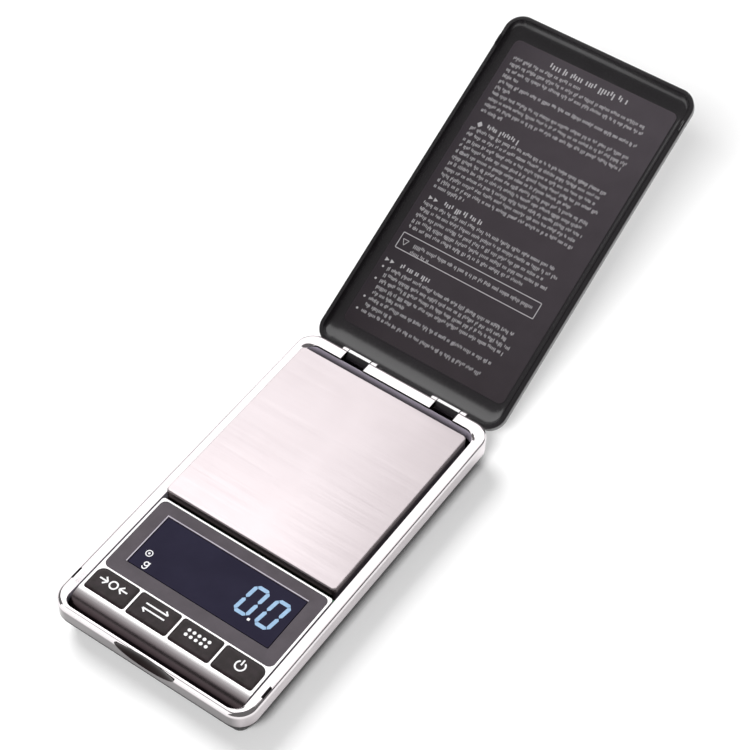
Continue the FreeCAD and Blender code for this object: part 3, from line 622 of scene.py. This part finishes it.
CAD_FINISH = {
    "steel": ("case_screws", "left_hinge_pin", "right_hinge_pin", "deck_screws", "battery_springs",
              "battery_contact_plates", "load_cell_spacer", "load_cell_screws", "overload_stop_screw",
              "carrier_screws"),
    "tin": ("switch_bodies", "crystal"),
    "aluminium": ("load_cell",),
    "white_plastic": ("lcd_backlight",) + tuple(name + "_switch_plunger" for name in KEY_NAMES),
    "grey_plastic": ("lcd_holder", "tray_carrier"),
    "rubber": ("lcd_connector_strip", "rubber_feet"),
    "board": ("main_pcb",),
    "chip": ("microcontroller", "converter_chip"),
    "ceramic": ("capacitors",),
    "film": ("strain_gauges",),
    "battery": ("front_battery", "rear_battery"),
    "red_wire": ("red_battery_wire",),
    "black_wire": ("black_battery_wire",),
    "pale_wire": ("load_cell_wires",),
    "body": ("base_shell", "battery_door"),
    "display": ("lcd_glass", "display_window"),
}


def finish_cad_nodes():
    for look, nodes in CAD_FINISH.items():
        for node in nodes:
            obj = frame["nodes"][node]
            obj.data.materials.clear()
            obj.data.materials.append(MATERIALS[look])
    frame["nodes"]["tray_carrier"].visible_glossy = False


# ---- chrome frame -------------------------------------------------------------------------
def side_share(x, y):
    """1 beside the long sides of the well, 0 along its front and rear, smooth round the corners."""
    dx = max(0.0, abs(x) - (HALF_W - CORNER_R))
    dy = max(0.0, abs(y) - (HALF_L - CORNER_R))
    if dy == 0.0:
        return 1.0 if dx > 0.0 else 0.0
    share = math.atan2(dx, dy) / (math.pi / 2)
    return share * share * (3 - 2 * share)


def frame_loop(side, front, rear, r, z, side_z=None):
    loop = rounded_loop(-HALF_W + side, HALF_W - side, -HALF_L + front, HALF_L - rear, r, z,
                        arc=24, across=48, along=64)
    points = []
    for x, y, height in loop:
        if side_z is not None:
            height += (side_z - z) * side_share(x, y)
        points.append((x, y, height))
    return points


def well_loop(grow, z):
    """The well's outline, pushed out into the rim by grow."""
    return frame_loop(WELL_SIDE - grow, WELL_FRONT - grow, WELL_REAR - grow, WELL_R + grow, z)


def frame_shape():
    """Up the outer wall, over the rounded rim, down into the well and back inside the wall."""
    loops = [frame_loop(BAND_CHAMFER, BAND_CHAMFER, BAND_CHAMFER, CORNER_R - BAND_CHAMFER, BAND_Z)]
    for z in (BAND_Z + BAND_CHAMFER, 9.5, 11.0, RIM_Z - RIM_ROUND):
        loops.append(frame_loop(0, 0, 0, CORNER_R, z))
    for k in range(1, 17):
        a = math.radians(90 * k / 16)
        inset = RIM_ROUND * (1 - math.cos(a))
        z = RIM_Z - RIM_ROUND + RIM_ROUND * math.sin(a)
        loops.append(frame_loop(inset, inset, inset, CORNER_R - inset, z))
    for side, front, rear, rounder, end_drop, side_drop in RIM_EDGE:
        loops.append(frame_loop(WELL_SIDE - side, WELL_FRONT - front, WELL_REAR - rear, WELL_R + rounder,
                                RIM_Z - end_drop, RIM_Z - side_drop))
    loops += [well_loop(0.0, LINER_TOP), well_loop(LINER_T, LINER_TOP), well_loop(LINER_T, LIP_BOTTOM)]
    lip = (WELL_SIDE - LIP_T, FRAME_WALL + 0.05, WELL_REAR - LIP_T, WELL_R + 0.8)
    wall = (FRAME_WALL, FRAME_WALL, FRAME_WALL, CORNER_R - FRAME_WALL)
    loops += [frame_loop(*lip, LIP_BOTTOM), frame_loop(*lip, LIP_TOP)]
    loops += [frame_loop(*wall, LIP_TOP), frame_loop(*wall, BAND_Z)]
    return loft(loops, ring=True)


def dish_y(x, z):
    """Y of the dished thumb face, which meets the front wall in an ellipse."""
    fall = (x / SCOOP_HALF_W) ** 2 + ((z - DECK_Z) / SCOOP_HALF_H) ** 2
    return -HALF_L + SCOOP_DEPTH * (1 - fall)


def scoop_shape():
    """Everything in front of the dished face under the thumb, as upright slices along X."""
    columns = 48
    rows = 30
    front = -HALF_L - 4
    low = DECK_Z - SCOOP_HALF_H * 1.3
    heights = [low + SCOOP_HALF_H * 2.6 * j / rows for j in range(rows + 1)]
    slices = []
    for i in range(columns + 1):
        x = -SCOOP_HALF_W * 1.2 + SCOOP_HALF_W * 2.4 * i / columns
        face = [(x, dish_y(x, z), z) for z in heights]
        slices.append(face + [(x, front, heights[-1]), (x, front, low)])
    return loft(slices)


def hollow_shape():
    """Thin dished skin that lines the thumb scoop, an ellipse cut off level with the rim; it carries the
    painted dark reflection of the hollow.
    """
    rings = 14
    spokes = 96
    skin = 0.05
    rise = (RIM_Z - 0.12 - DECK_Z) / SCOOP_HALF_H
    front = []
    for k in range(1, rings + 1):
        reach = 0.985 * k / rings
        ring = []
        for i in range(spokes):
            a = 2 * math.pi * i / spokes
            x = SCOOP_HALF_W * reach * math.cos(a)
            z = DECK_Z + SCOOP_HALF_H * min(reach * math.sin(a), rise)
            ring.append((x, dish_y(x, z) - skin, z))
        front.append(ring)
    back = [[(x, y + 2 * skin, z) for x, y, z in ring] for ring in reversed(front)]
    points, faces = loft(front + back)
    near, last = len(points), len(points) - spokes
    points += [(0, dish_y(0, DECK_Z) - skin, DECK_Z), (0, dish_y(0, DECK_Z) + skin, DECK_Z)]
    fans = []
    for i in range(spokes):
        j = (i + 1) % spokes
        fans += [(near, j, i), (near + 1, last + i, last + j)]
    return points, faces[:-2] + fans


def ear_shape(x0):
    """Ear beside a hinge notch: a block with a round back that holds the pin."""
    back = circle_points(HINGE_Y, HINGE_Z, KNUCKLE_R, 25, -90, 180)
    outline = [(EAR_FRONT, HINGE_Z - KNUCKLE_R)] + back + [(EAR_FRONT, HINGE_Z + KNUCKLE_R)]
    return side_prism(outline, x0, x0 + EAR_W)


def pin_bores(r):
    """Rods through both hinges, to bore them with."""
    reach = NOTCH_HALF * 2
    ends = circle_points(HINGE_Y, HINGE_Z, r, 48)
    return together([side_prism(ends, xc - reach, xc + reach) for xc in HINGE_X])


def seam_shape():
    """Fine line that leaves one catch slot, goes round the back and ends at the other."""
    outline = []
    for offset, order in ((-GROOVE_HALF, 1), (GROOVE_HALF, -1)):
        x = HALF_W - GROOVE_SIDE - offset
        y = HALF_L - GROOVE_REAR - offset
        r = CORNER_R - GROOVE_SIDE - offset
        path = [(x, SLOT_REAR - 0.1)]
        path += circle_points(x - r, y - r, r, 25, 0, 90)
        path += circle_points(-x + r, y - r, r, 25, 90, 90)
        path.append((-x, SLOT_REAR - 0.1))
        outline += path[::order]
    return prism(outline, GROOVE_BOTTOM, RIM_Z + 1)


def make_rim():
    obj = make_object("chrome_rim", frame_shape())
    well_rear = HALF_L - WELL_REAR
    cutters = [scoop_shape()]
    cutters += [block(xc - NOTCH_HALF, xc + NOTCH_HALF, well_rear + 0.65, HALF_L + 3, NOTCH_BOTTOM, ABOVE)
                for xc in HINGE_X]
    for side in (-1, 1):
        x0, x1 = sorted((side * SLOT_IN, side * SLOT_OUT))
        cutters.append(block(x0, x1, SLOT_FRONT, SLOT_REAR, RIM_Z - SLOT_DEPTH, ABOVE))
    cutters.append(seam_shape())
    cutters += [block(xc - NOTCH_HALF, xc + NOTCH_HALF, well_rear - 1, well_rear + 0.9, LIP_BOTTOM + 0.4,
                      ABOVE) for xc in HINGE_X]
    for cutter in cutters:
        combine(obj, cutter)
    finish_piece(obj, "body", "chrome", ["chrome_frame"])


def make_well_lining():
    """Sleeve in the rebate that the rim leaves for it."""
    gap = 0.02
    low, high, back = LIP_BOTTOM + 0.1, LINER_TOP - gap, LINER_T - gap
    loops = [well_loop(0.0, low), well_loop(0.0, high), well_loop(back, high), well_loop(back, low)]
    add_piece("well_lining", loft(loops, ring=True), "body", "liner")


def make_slot_floors():
    gap = 0.04
    floors = []
    for side in (-1, 1):
        x0, x1 = sorted((side * (SLOT_IN + gap), side * (SLOT_OUT - gap)))
        floors.append(block(x0, x1, SLOT_FRONT + gap, SLOT_REAR - gap, RIM_Z - SLOT_DEPTH, RIM_Z - 1.0))
    add_piece("catch_slot_floors", together(floors), "body", "body")


def make_thumb_hollow():
    # the skin carries the painted dark reflection of the scoop
    add_piece("thumb_hollow", hollow_shape(), "body", "scoop")


def make_hinge_ears():
    ears = []
    for xc in HINGE_X:
        for x0 in (xc - NOTCH_HALF - EAR_W, xc + NOTCH_HALF):
            ears.append(ear_shape(x0))
    obj = make_object("hinge_ears", together(ears))
    combine(obj, pin_bores(PIN_R))
    soften(obj, 0.12)
    finish_piece(obj, "body", "chrome")


# ---- lid ----------------------------------------------------------------------------------
def lid_loop(side, end, r, z, near=None):
    """One ring of the lid's skin; near is the inset at the hinge end when that differs."""
    near = end if near is None else near
    return rounded_loop(-LID_HALF_W + side, LID_HALF_W - side, -LID_HALF_L + end, LID_HALF_L - near, r, z,
                        arc=24, across=6, along=8)


def lid_shape():
    """Skin from the inner floor, down the hollow curves, over the rim and round the outside."""
    outer_r = CORNER_R - 0.3
    floor_z = LID_SEAT_Z + LID_DEPTH
    reach = LID_END_COVE_R - LID_DEPTH
    end_width = math.sqrt(LID_END_COVE_R ** 2 - reach ** 2)
    margin = 0.3
    loops = [lid_loop(LID_WALL + LID_SIDE_COVE + margin, LID_WALL + end_width + margin, LID_FLOOR_R - 0.2,
                      floor_z, LID_WALL + end_width * LID_NEAR_STRETCH + margin)]
    for k in range(24, -1, -1):
        share = math.sin(math.radians(90 * k / 24))
        side = LID_WALL + LID_SIDE_COVE * (1 - math.sqrt(max(0.0, 1 - share * share)))
        end = LID_WALL + end_width - math.sqrt(LID_END_COVE_R ** 2 - (reach + LID_DEPTH * share) ** 2)
        near = LID_WALL + (end - LID_WALL) * LID_NEAR_STRETCH
        r = LID_MOUTH_R + (LID_FLOOR_R - LID_MOUTH_R) * share
        loops.append(lid_loop(side, end, r, LID_SEAT_Z + LID_DEPTH * share, near))
    edge = 0.3
    loops.append(lid_loop(LID_WALL - 0.1, LID_WALL - 0.1, outer_r - 1.1, LID_SEAT_Z))
    loops.append(lid_loop(edge, edge, outer_r - edge, LID_SEAT_Z))
    for k in range(1, 6):
        a = math.radians(90 * k / 5)
        inset = edge * (1 - math.sin(a))
        loops.append(lid_loop(inset, inset, outer_r - inset, LID_SEAT_Z + edge * (1 - math.cos(a))))
    top = LID_SEAT_Z + LID_H
    for k in range(17):
        a = math.radians(90 * k / 16)
        inset = LID_ROUND * (1 - math.cos(a))
        loops.append(lid_loop(inset, inset, outer_r - inset, top - LID_ROUND + LID_ROUND * math.sin(a)))
    inset = LID_ROUND + margin
    loops.append(lid_loop(inset, inset, outer_r - inset, top))
    return loft(loops)


def knuckle_shape(xc):
    """Knuckle with the arm that joins it to the lid's rear wall."""
    curve = circle_points(HINGE_Y, HINGE_Z, KNUCKLE_R, 41, 160, 290)
    wall, arm_top = LID_HALF_L - 0.02, LID_SEAT_Z + 1.2
    outline = curve + [(wall, HINGE_Z + KNUCKLE_R), (wall, arm_top), (HINGE_Y - 1.7, arm_top)]
    return side_prism(outline, xc - KNUCKLE_HALF, xc + KNUCKLE_HALF)


def make_lid():
    add_piece("lid_hollow_shell", lid_shape(), "lid", "lid", ["lid_shell"], OPEN_LID)
    obj = make_object("lid_knuckles", together([knuckle_shape(xc) for xc in HINGE_X]))
    combine(obj, pin_bores(PIN_R + 0.05))
    soften(obj, 0.15)
    finish_piece(obj, "lid", "lid", (), OPEN_LID)


def make_hinge_leaves():
    outer = circle_points(HINGE_Y, HINGE_Z, KNUCKLE_R + 0.06, 13, LEAF_FROM, LEAF_SWEEP)
    inner = circle_points(HINGE_Y, HINGE_Z, KNUCKLE_R - 0.02, 13, LEAF_FROM, LEAF_SWEEP)
    half = KNUCKLE_HALF - 0.05
    obj = make_object("hinge_leaves", together([side_prism(outer + inner[::-1], xc - half, xc + half)
                                                for xc in HINGE_X]))
    finish_piece(obj, "lid", "leaf", (), OPEN_LID)


def make_catches():
    catches = []
    for side in (-1, 1):
        x0, x1 = sorted((side * CATCH_IN, side * CATCH_OUT))
        catches.append(block(x0, x1, CATCH_FRONT, CATCH_REAR, LID_SEAT_Z - CATCH_DROP, LID_SEAT_Z + 0.3))
    obj = make_object("lid_catches", together(catches))
    soften(obj, 0.08)
    finish_piece(obj, "lid", "lid", (), OPEN_LID)


# ---- printed panel in the lid -------------------------------------------------------------
def from_hinge(v):
    """Y of a row that lies v from the lid's hinge end, which is its +Y end when it is shut."""
    return LID_HALF_L - v


def print_row(rng, v, x0, x1, size=TEXT):
    """Row of fine upright marks grouped like words, with no letters in them."""
    height, weight = size
    base = from_hinge(v)
    marks = []
    x = x0
    while x < x1 - weight:
        for _ in range(rng.randint(2, 8)):
            if x > x1 - weight:
                break
            tall = height * rng.choice((0.68, 0.68, 0.68, 1.0))
            drop = height * rng.choice((0.0, 0.0, 0.0, 0.22))
            marks.append(block(x, x + weight, base - drop, base - drop + tall, PRINT_Z, LABEL_Z))
            x += weight + height * rng.choice((0.14, 0.20, 0.26))
        x += height * 0.42
    return marks


def print_rows(rng, v, ends, x0=PRINT_LEFT):
    marks = []
    for k, x1 in enumerate(ends):
        marks += print_row(rng, v - ROW_PITCH * k, x0, x1)
    return marks


def pointers(x, v):
    """Two small solid triangles that point along a sub-head."""
    y = from_hinge(v)
    return [prism([(left, y + 1.3), (left, y), (left + 1.3, y + 0.65)], PRINT_Z, LABEL_Z)
            for left in (x, x + 1.8)]


def diamond(x, v):
    y = from_hinge(v) + 0.8
    return [prism([(x, y), (x + 0.9, y - 1.0), (x + 1.8, y), (x + 0.9, y + 1.0)], PRINT_Z, LABEL_Z)]


def note_frame(x0, x1, near, far):
    """Thin outline round the boxed note."""
    line = 0.26
    y0, y1 = from_hinge(far), from_hinge(near)
    outer = rounded_loop(x0, x1, y0, y1, 0.4, 0, 4)
    inner = rounded_loop(x0 + line, x1 - line, y0 + line, y1 - line, 0.2, 0, 4)
    return [hoop(outer, inner, PRINT_Z, LABEL_Z)]


def note_triangle(x, v):
    y = from_hinge(v)
    corners = [(x, y), (x + 2.0, y), (x + 1.0, y + 1.8)]
    marks = []
    for k in range(3):
        (ax, ay), (bx, by) = corners[k], corners[(k + 1) % 3]
        marks.append(stroke(ax, ay, bx, by, 0.2, PRINT_Z, LABEL_Z))
    return marks


def bullets(x, places):
    return [plate(x, x + 0.7, from_hinge(v) + 0.1, from_hinge(v) + 0.8, 0.34, PRINT_Z, LABEL_Z, 5)
            for v in places]


def make_lid_print():
    top = LID_SEAT_Z + LID_DEPTH - 0.01
    add_piece("label_film", plate(-28.0, 28.1, -51.5, 49.0, 1.8, LABEL_Z, top, 12),
              "lid", "label", ["lid_label"], OPEN_LID)
    rng = random.Random(7)
    marks = print_row(rng, 107.0, -14.2, 12.8, HEADING)
    marks += print_rows(rng, 104.2, (-2.0, 21.6, 21.8, -20.0, 22.0, -20.5, 22.0, 22.6, 21.5, -18.0))
    marks += print_row(rng, 81.4, -21.0, -9.4, SUB_HEAD) + diamond(-24.4, 81.4)
    marks += print_rows(rng, 79.0, (22.0, 21.0, 20.5, 22.6, 15.0, 21.6, 20.6, 22.4, 21.0, 22.0, -15.0))
    marks += print_row(rng, 54.4, -19.6, -5.4, SUB_HEAD) + pointers(-25.0, 54.4)
    marks += print_rows(rng, 52.0, (20.6, 22.4, 19.0, 21.5, 15.0))
    marks += note_frame(-26.0, 22.6, 35.5, 41.0) + note_triangle(-24.9, 39.0)
    marks += print_row(rng, 38.9, -20.8, 21.0) + print_row(rng, 36.6, -20.8, -14.0)
    marks += print_row(rng, 31.8, -21.0, -9.6, SUB_HEAD) + pointers(-26.4, 31.8)
    marks += print_rows(rng, 29.2, (20.8, 19.0, 21.5, 20.4, -13.0, 18.8, -14.0, 17.6), -24.2)
    marks += bullets(-26.2, (29.2, 25.0, 18.7, 14.5))
    add_piece("lid_print", together(marks), "lid", "grey", (), OPEN_LID)


# ---- key deck, display and keys -----------------------------------------------------------
def key_outline(name, grow):
    """Edges and corner radii of a key; the outer rear corner of the two end keys is rounder."""
    x0, x1, y0, y1, z0, z1 = extent(name + "_key")
    x0, x1, y0, y1 = x0 + KEY_FLANGE_X, x1 - KEY_FLANGE_X, y0 + KEY_FLANGE_Y, y1 - KEY_FLANGE_Y
    small, large = 0.8 + grow, 2.4 + grow
    rear_left = large if name == KEY_NAMES[0] else small
    rear_right = large if name == KEY_NAMES[-1] else small
    return x0 - grow, x1 + grow, y0 - grow, y1 + grow, (small, small, rear_right, rear_left)


def deck_shape(half_w, rear):
    roll_z = DECK_Z - DECK_ROLL_R
    front = extent("key_deck")[2]
    outline = [(rear, DECK_Z - 0.08), (rear - 0.08, DECK_Z)]
    end = math.asin((DECK_ROLL_START - front) / DECK_ROLL_R)
    for k in range(41):
        a = end * k / 40
        outline.append((DECK_ROLL_START - DECK_ROLL_R * math.sin(a), roll_z + DECK_ROLL_R * math.cos(a)))
    outline.append((front, LIP_BOTTOM + 0.25))
    inner_r = DECK_ROLL_R - 1.2
    for k in range(21):
        a = end * (1 - k / 20) * 0.97
        y = DECK_ROLL_START - inner_r * math.sin(a)
        z = min(roll_z + inner_r * math.cos(a), DECK_Z - DECK_T)
        outline.append((y, z))
    outline.append((rear, DECK_Z - DECK_T))
    return side_prism(outline, -half_w, half_w)


def make_deck():
    x0, x1, y0, y1, z0, z1 = extent("key_deck")
    obj = make_object("key_deck_plate", deck_shape(x1, y1))
    front_r = WELL_R - 0.45
    combine(obj, plate(x0, x1, y0, y1, (front_r, front_r, 1.0, 1.0), 0, ABOVE, 16), "INTERSECT")
    px0, px1, py0, py1, pz0, pz1 = extent("display_panel")
    gap = 0.05
    combine(obj, plate(px0 - gap, px1 + gap, py0 - gap, py1 + gap, PANEL_R + gap, DECK_Z - PANEL_T, ABOVE,
                       12))
    gx0, gx1, gy0, gy1, gz0, gz1 = extent("lcd_glass")
    gap = 0.3
    below = 5.0
    combine(obj, block(gx0 - gap, gx1 + gap, gy0 - gap, gy1 + gap, below, ABOVE))
    holes = []
    for name in KEY_NAMES:
        kx0, kx1, ky0, ky1, radii = key_outline(name, KEY_GAP)
        holes.append(plate(kx0, kx1, ky0, ky1, radii, below, ABOVE, 8))
    combine(obj, together(holes))
    finish_piece(obj, "body", "deck_chrome_painted_reflection", ["key_deck"])


def make_panel():
    x0, x1, y0, y1, z0, z1 = extent("display_panel")
    wx0, wx1, wy0, wy1, wz0, wz1 = extent("display_window")
    loops = []
    for inset, z in ((0.0, z0), (0.0, z1 - 0.1), (0.03, z1 - 0.03), (0.1, z1), (0.2, z1)):
        loops.append(rounded_loop(x0 + inset, x1 - inset, y0 + inset, y1 - inset, PANEL_R - inset, z, 12))
    for grow, z in ((0.55, z1), (0.42, z1 - 0.02), (0.10, z0 + 0.1), (0.10, z0)):
        loops.append(rounded_loop(wx0 - grow, wx1 + grow, wy0 - grow, wy1 + grow, 0.3, z, 12))
    add_piece("display_bezel", loft(loops, ring=True), "body", "panel", ["display_panel"])
    # painted highlight: a pale line along the window's left and far edges, for the lit walls of its recess
    left, near, right, far = wx0 - 0.45, wy0 - 0.3, wx1 + 0.3, wy1 + 0.45
    line = 0.34
    outline = [(left, near), (left + line, near), (left + line, far - line), (right, far - line),
               (right, far), (left, far)]
    add_piece("window_highlight_line", prism(outline, z1 - 0.05, z1 + 0.02),
              "body", "painted_edge_highlight")


SEGMENTS = {
    "top": ((0, 2), (1, 2)), "upper_left": ((0, 1), (0, 2)), "upper_right": ((1, 1), (1, 2)),
    "lower_left": ((0, 0), (0, 1)), "lower_right": ((1, 0), (1, 1)), "bottom": ((0, 0), (1, 0)),
}


def digit_zero(x, y, lean, z0, z1):
    """Seven-segment nought: six bars with pointed ends on a leaning grid."""
    bars = []
    gap = 0.10
    half = DIGIT_BAR / 2
    for (ax, ay), (bx, by) in SEGMENTS.values():
        start = Vector((ax * DIGIT_W, ay * DIGIT_H / 2))
        end = Vector((bx * DIGIT_W, by * DIGIT_H / 2))
        along = (end - start).normalized()
        side = Vector((-along.y, along.x))
        a = start + along * gap
        b = end - along * gap
        outline = [a, a + (along - side) * half, b - (along + side) * half, b, b + (side - along) * half,
                   a + (along + side) * half]
        leaning = [(x + p.x + lean * p.y / DIGIT_H, y + p.y) for p in outline]
        bars.append(prism(leaning, z0, z1))
    return bars


def ring_and_dot(x, y, z0, z1):
    return [arc_stroke(x, y, 0.95, 0.28, z0, z1), prism(circle_points(x, y, 0.34, 20), z0, z1)]


def gram_sign(x, y, z0, z1):
    """Small g: a bowl, a stem and a hooked tail."""
    stem = x + 0.72
    return [arc_stroke(x, y, 0.62, SMALL_MARK_W, z0, z1),
            stroke(stem, y + 0.75, stem, y - 1.1, SMALL_MARK_W, z0, z1),
            arc_stroke(x, y - 1.0, 0.66, SMALL_MARK_W, z0, z1, 190, 165)]


def make_display_marks():
    z0 = extent("display_window")[5]
    z1 = z0 + 0.03
    lit = digit_zero(8.75, -31.55, 0.95, z0, z1) + digit_zero(15.8, -31.85, 1.15, z0, z1)
    add_piece("display_digits", together(lit), "body", "segment")
    marks = [plate(13.55, 14.4, -32.5, -31.65, 0.3, z0, z1, 6)]
    marks += ring_and_dot(-20.27, -30.91, z0, z1) + gram_sign(-18.72, -34.0, z0, z1)
    add_piece("display_signs", together(marks), "body", "white")


def key_cap(name):
    kx0, kx1, ky0, ky1, radii = key_outline(name, 0.0)
    x0, x1, y0, y1, z0, z1 = extent(name + "_key")
    loops = []
    for z in (z0 + 0.7, z1 - 0.6):
        loops.append(rounded_loop(kx0, kx1, ky0, ky1, radii, z, 10, 10, 6))
    for k in range(11):
        a = math.radians(90 * k / 10)
        inset = KEY_ROUND_W * (1 - math.cos(a))
        z = z1 - KEY_ROUND_H + KEY_ROUND_H * math.sin(a)
        inner = tuple(max(0.12, r - 0.75 * inset) for r in radii)
        loops.append(rounded_loop(kx0 + inset, kx1 - inset, ky0 + inset, ky1 - inset, inner, z, 10, 10, 6))
    flange = plate(x0, x1, y0, y1, 0.8, z0 + 0.2, z0 + 0.7)
    stem = prism(circle_points((x0 + x1) / 2, (y0 + y1) / 2, 1.3, 24), z0, z0 + 0.2)
    return together([loft(loops), flange, stem])


def arrow(x, y, tail, tip, z0, z1):
    """Flat arrow along X with a two-stroke head."""
    way = 1 if tip > tail else -1
    marks = [stroke(x + tail, y, x + tip - way * 0.1, y, SIGN_W, z0, z1)]
    for side in (-1, 1):
        marks.append(stroke(x + tip, y, x + tip - way * 1.15, y + side * 1.15, SIGN_W, z0, z1))
    return marks


def tare_sign(x, y, z0, z1):
    """Two arrows that close on a nought."""
    marks = [arc_stroke(x, y, 1.15, SIGN_W, z0, z1)]
    return marks + arrow(x, y, -4.6, -1.95, z0, z1) + arrow(x, y, 4.6, 1.95, z0, z1)


def unit_sign(x, y, z0, z1):
    """Two opposed arrows: change over."""
    marks = []
    for way in (-1, 1):
        row = y + way * 0.8
        tip = x + way * 3.6
        marks.append(stroke(x - way * 3.6, row, tip, row, SIGN_W, z0, z1))
        marks.append(stroke(tip, row, tip - way * 1.15, row + way, SIGN_W, z0, z1))
    return marks


def count_sign(x, y, z0, z1):
    """Two rows of dots: counting pieces."""
    marks = []
    for i in range(5):
        for j in range(2):
            marks.append(prism(circle_points(x - 3.3 + 1.65 * i, y - 0.8 + 1.6 * j, 0.52, 20), z0, z1))
    return marks


def power_sign(x, y, z0, z1):
    """Open ring with a bar in its gap."""
    return [arc_stroke(x, y - 0.15, 1.45, SIGN_W, z0, z1, 122, 296),
            stroke(x, y + 0.1, x, y + 1.9, SIGN_W, z0, z1)]


KEY_SIGNS = {"tare": tare_sign, "unit": unit_sign, "count": count_sign, "power": power_sign}


def make_keys():
    for name in KEY_NAMES:
        add_piece(name + "_key_cap", key_cap(name),
                  name + "_button", "key", [name + "_key"], sharp=50)
        x0, x1, y0, y1, z0, z1 = extent(name + "_key")
        marks = KEY_SIGNS[name]((x0 + x1) / 2, (y0 + y1) / 2 + SIGN_REAR, z1 - 0.01, z1 + 0.02)
        add_piece(name + "_key_sign", together(marks), name + "_button", "white")


# ---- weighing tray ------------------------------------------------------------------------
def tray_shape():
    """Pressed sheet: from its underside down the inside of the skirt, out and over the soft edge."""
    x0, x1, y0, y1, z0, z1 = extent("weighing_tray")

    def ring(inset, z):
        r = max(0.25, TRAY_CORNER - inset)
        return rounded_loop(x0 + inset, x1 - inset, y0 + inset, y1 - inset, r, z, 12, 12, 12)

    loops = [ring(TRAY_SHEET, z1 - TRAY_SHEET), ring(TRAY_SHEET, z0), ring(0.0, z0)]
    for k in range(13):
        a = math.radians(90 * k / 12)
        loops.append(ring(TRAY_ROUND * (1 - math.cos(a)), z1 - TRAY_ROUND + TRAY_ROUND * math.sin(a)))
    loops.append(ring(TRAY_ROUND + 0.15, z1))
    return loft(loops)


def make_tray():
    obj = make_object("brushed_platform", tray_shape())
    obj.visible_glossy = False
    finish_piece(obj, "platform", "tray", ["weighing_tray"])


# ---- camera, floor and light --------------------------------------------------------------
def make_camera():
    camera = bpy.data.objects.new("camera", bpy.data.cameras.new("camera"))
    bpy.context.scene.collection.objects.link(camera)
    camera.location = Vector((0.20857, -0.32359, 0.48621))
    aim = Vector((-0.00674, 0.00249, 0.013))
    look = (aim - camera.location).to_track_quat("-Z", "Y")
    roll = Matrix.Rotation(math.radians(2.056), 4, "Z")
    camera.matrix_world = Matrix.Translation(camera.location) @ look.to_matrix().to_4x4() @ roll
    camera.data.sensor_width = 36.0
    camera.data.lens = 102.27
    camera.data.clip_start = 0.01
    bpy.context.scene.camera = camera


def make_floor():
    mesh = bpy.data.meshes.new("floor")
    half = 3.0
    corners = [(-half, -half, 0), (half, -half, 0), (half, half, 0), (-half, half, 0)]
    mesh.from_pydata(corners, [], [(0, 1, 2, 3)])
    floor = bpy.data.objects.new("floor", mesh)
    bpy.context.scene.collection.objects.link(floor)
    material, tree, shader = new_material("pale floor")
    shader.inputs["Base Color"].default_value = (0.90, 0.90, 0.90, 1)
    shader.inputs["Roughness"].default_value = 0.9
    mesh.materials.append(material)


def add_area(name, direction, distance, size, power, glossy=True, diffuse=True):
    """Rectangular light that looks at the origin."""
    light = bpy.data.lights.new(name, "AREA")
    light.shape = "RECTANGLE"
    light.size = size[0]
    light.size_y = size[1]
    light.energy = power
    obj = bpy.data.objects.new(name, light)
    bpy.context.scene.collection.objects.link(obj)
    offset = Vector(direction).normalized() * distance
    obj.location = offset
    obj.rotation_euler = (-offset).to_track_quat("-Z", "Y").to_euler()
    obj.visible_glossy = glossy
    obj.visible_diffuse = diffuse
    return obj


def group_of(name, pieces):
    group = bpy.data.collections.new(name)
    for piece in pieces:
        group.objects.link(piece)
    return group


def make_lights():
    """Two softboxes light the object and the floor. A panel and two cards show only in the gloss,
    the cards only in the chrome, and the left softbox takes its shadow from the body alone."""
    scene = bpy.context.scene
    scene.view_settings.view_transform = "Standard"
    world = bpy.data.worlds.new("studio")
    world.use_nodes = True
    world.node_tree.nodes["Background"].inputs["Color"].default_value = (1.0, 0.985, 0.99, 1)
    world.node_tree.nodes["Background"].inputs["Strength"].default_value = 0.16
    scene.world = world
    objects = bpy.data.objects
    casters = group_of("body_casters", [objects["chrome_rim"], frame["nodes"]["base_shell"]])
    chrome = group_of("chrome_pieces", [objects[name] for name in ("chrome_rim", "hinge_ears",
                                                                   "key_deck_plate")])
    add_area("key_softbox", (0.13, -0.65, 0.76), 2.2, (0.62, 0.62), 37.0, glossy=False)
    left = add_area("left_softbox", (-0.56, 0.16, 0.80), 1.6, (0.8, 0.8), 19.0, glossy=False)
    left.light_linking.blocker_collection = casters
    add_area("rear_panel", (-0.18, 0.68, 0.71), 1.1, (2.5, 1.3), 13.3, diffuse=False)
    front = add_area("front_card", (-0.42, -0.80, 0.42), 1.1, (0.9, 1.1), 3.6, diffuse=False)
    top = add_area("top_card", (-0.40, -0.06, 0.92), 1.1, (0.75, 0.75), 2.1, diffuse=False)
    for card in (front, top):
        card.light_linking.receiver_collection = chrome


make_camera()
make_floor()
finish_cad_nodes()
make_rim()
make_well_lining()
make_slot_floors()
make_thumb_hollow()
make_hinge_ears()
make_deck()
make_panel()
make_display_marks()
make_keys()
make_tray()
make_lid()
make_hinge_leaves()
make_catches()
make_lid_print()
make_lights()
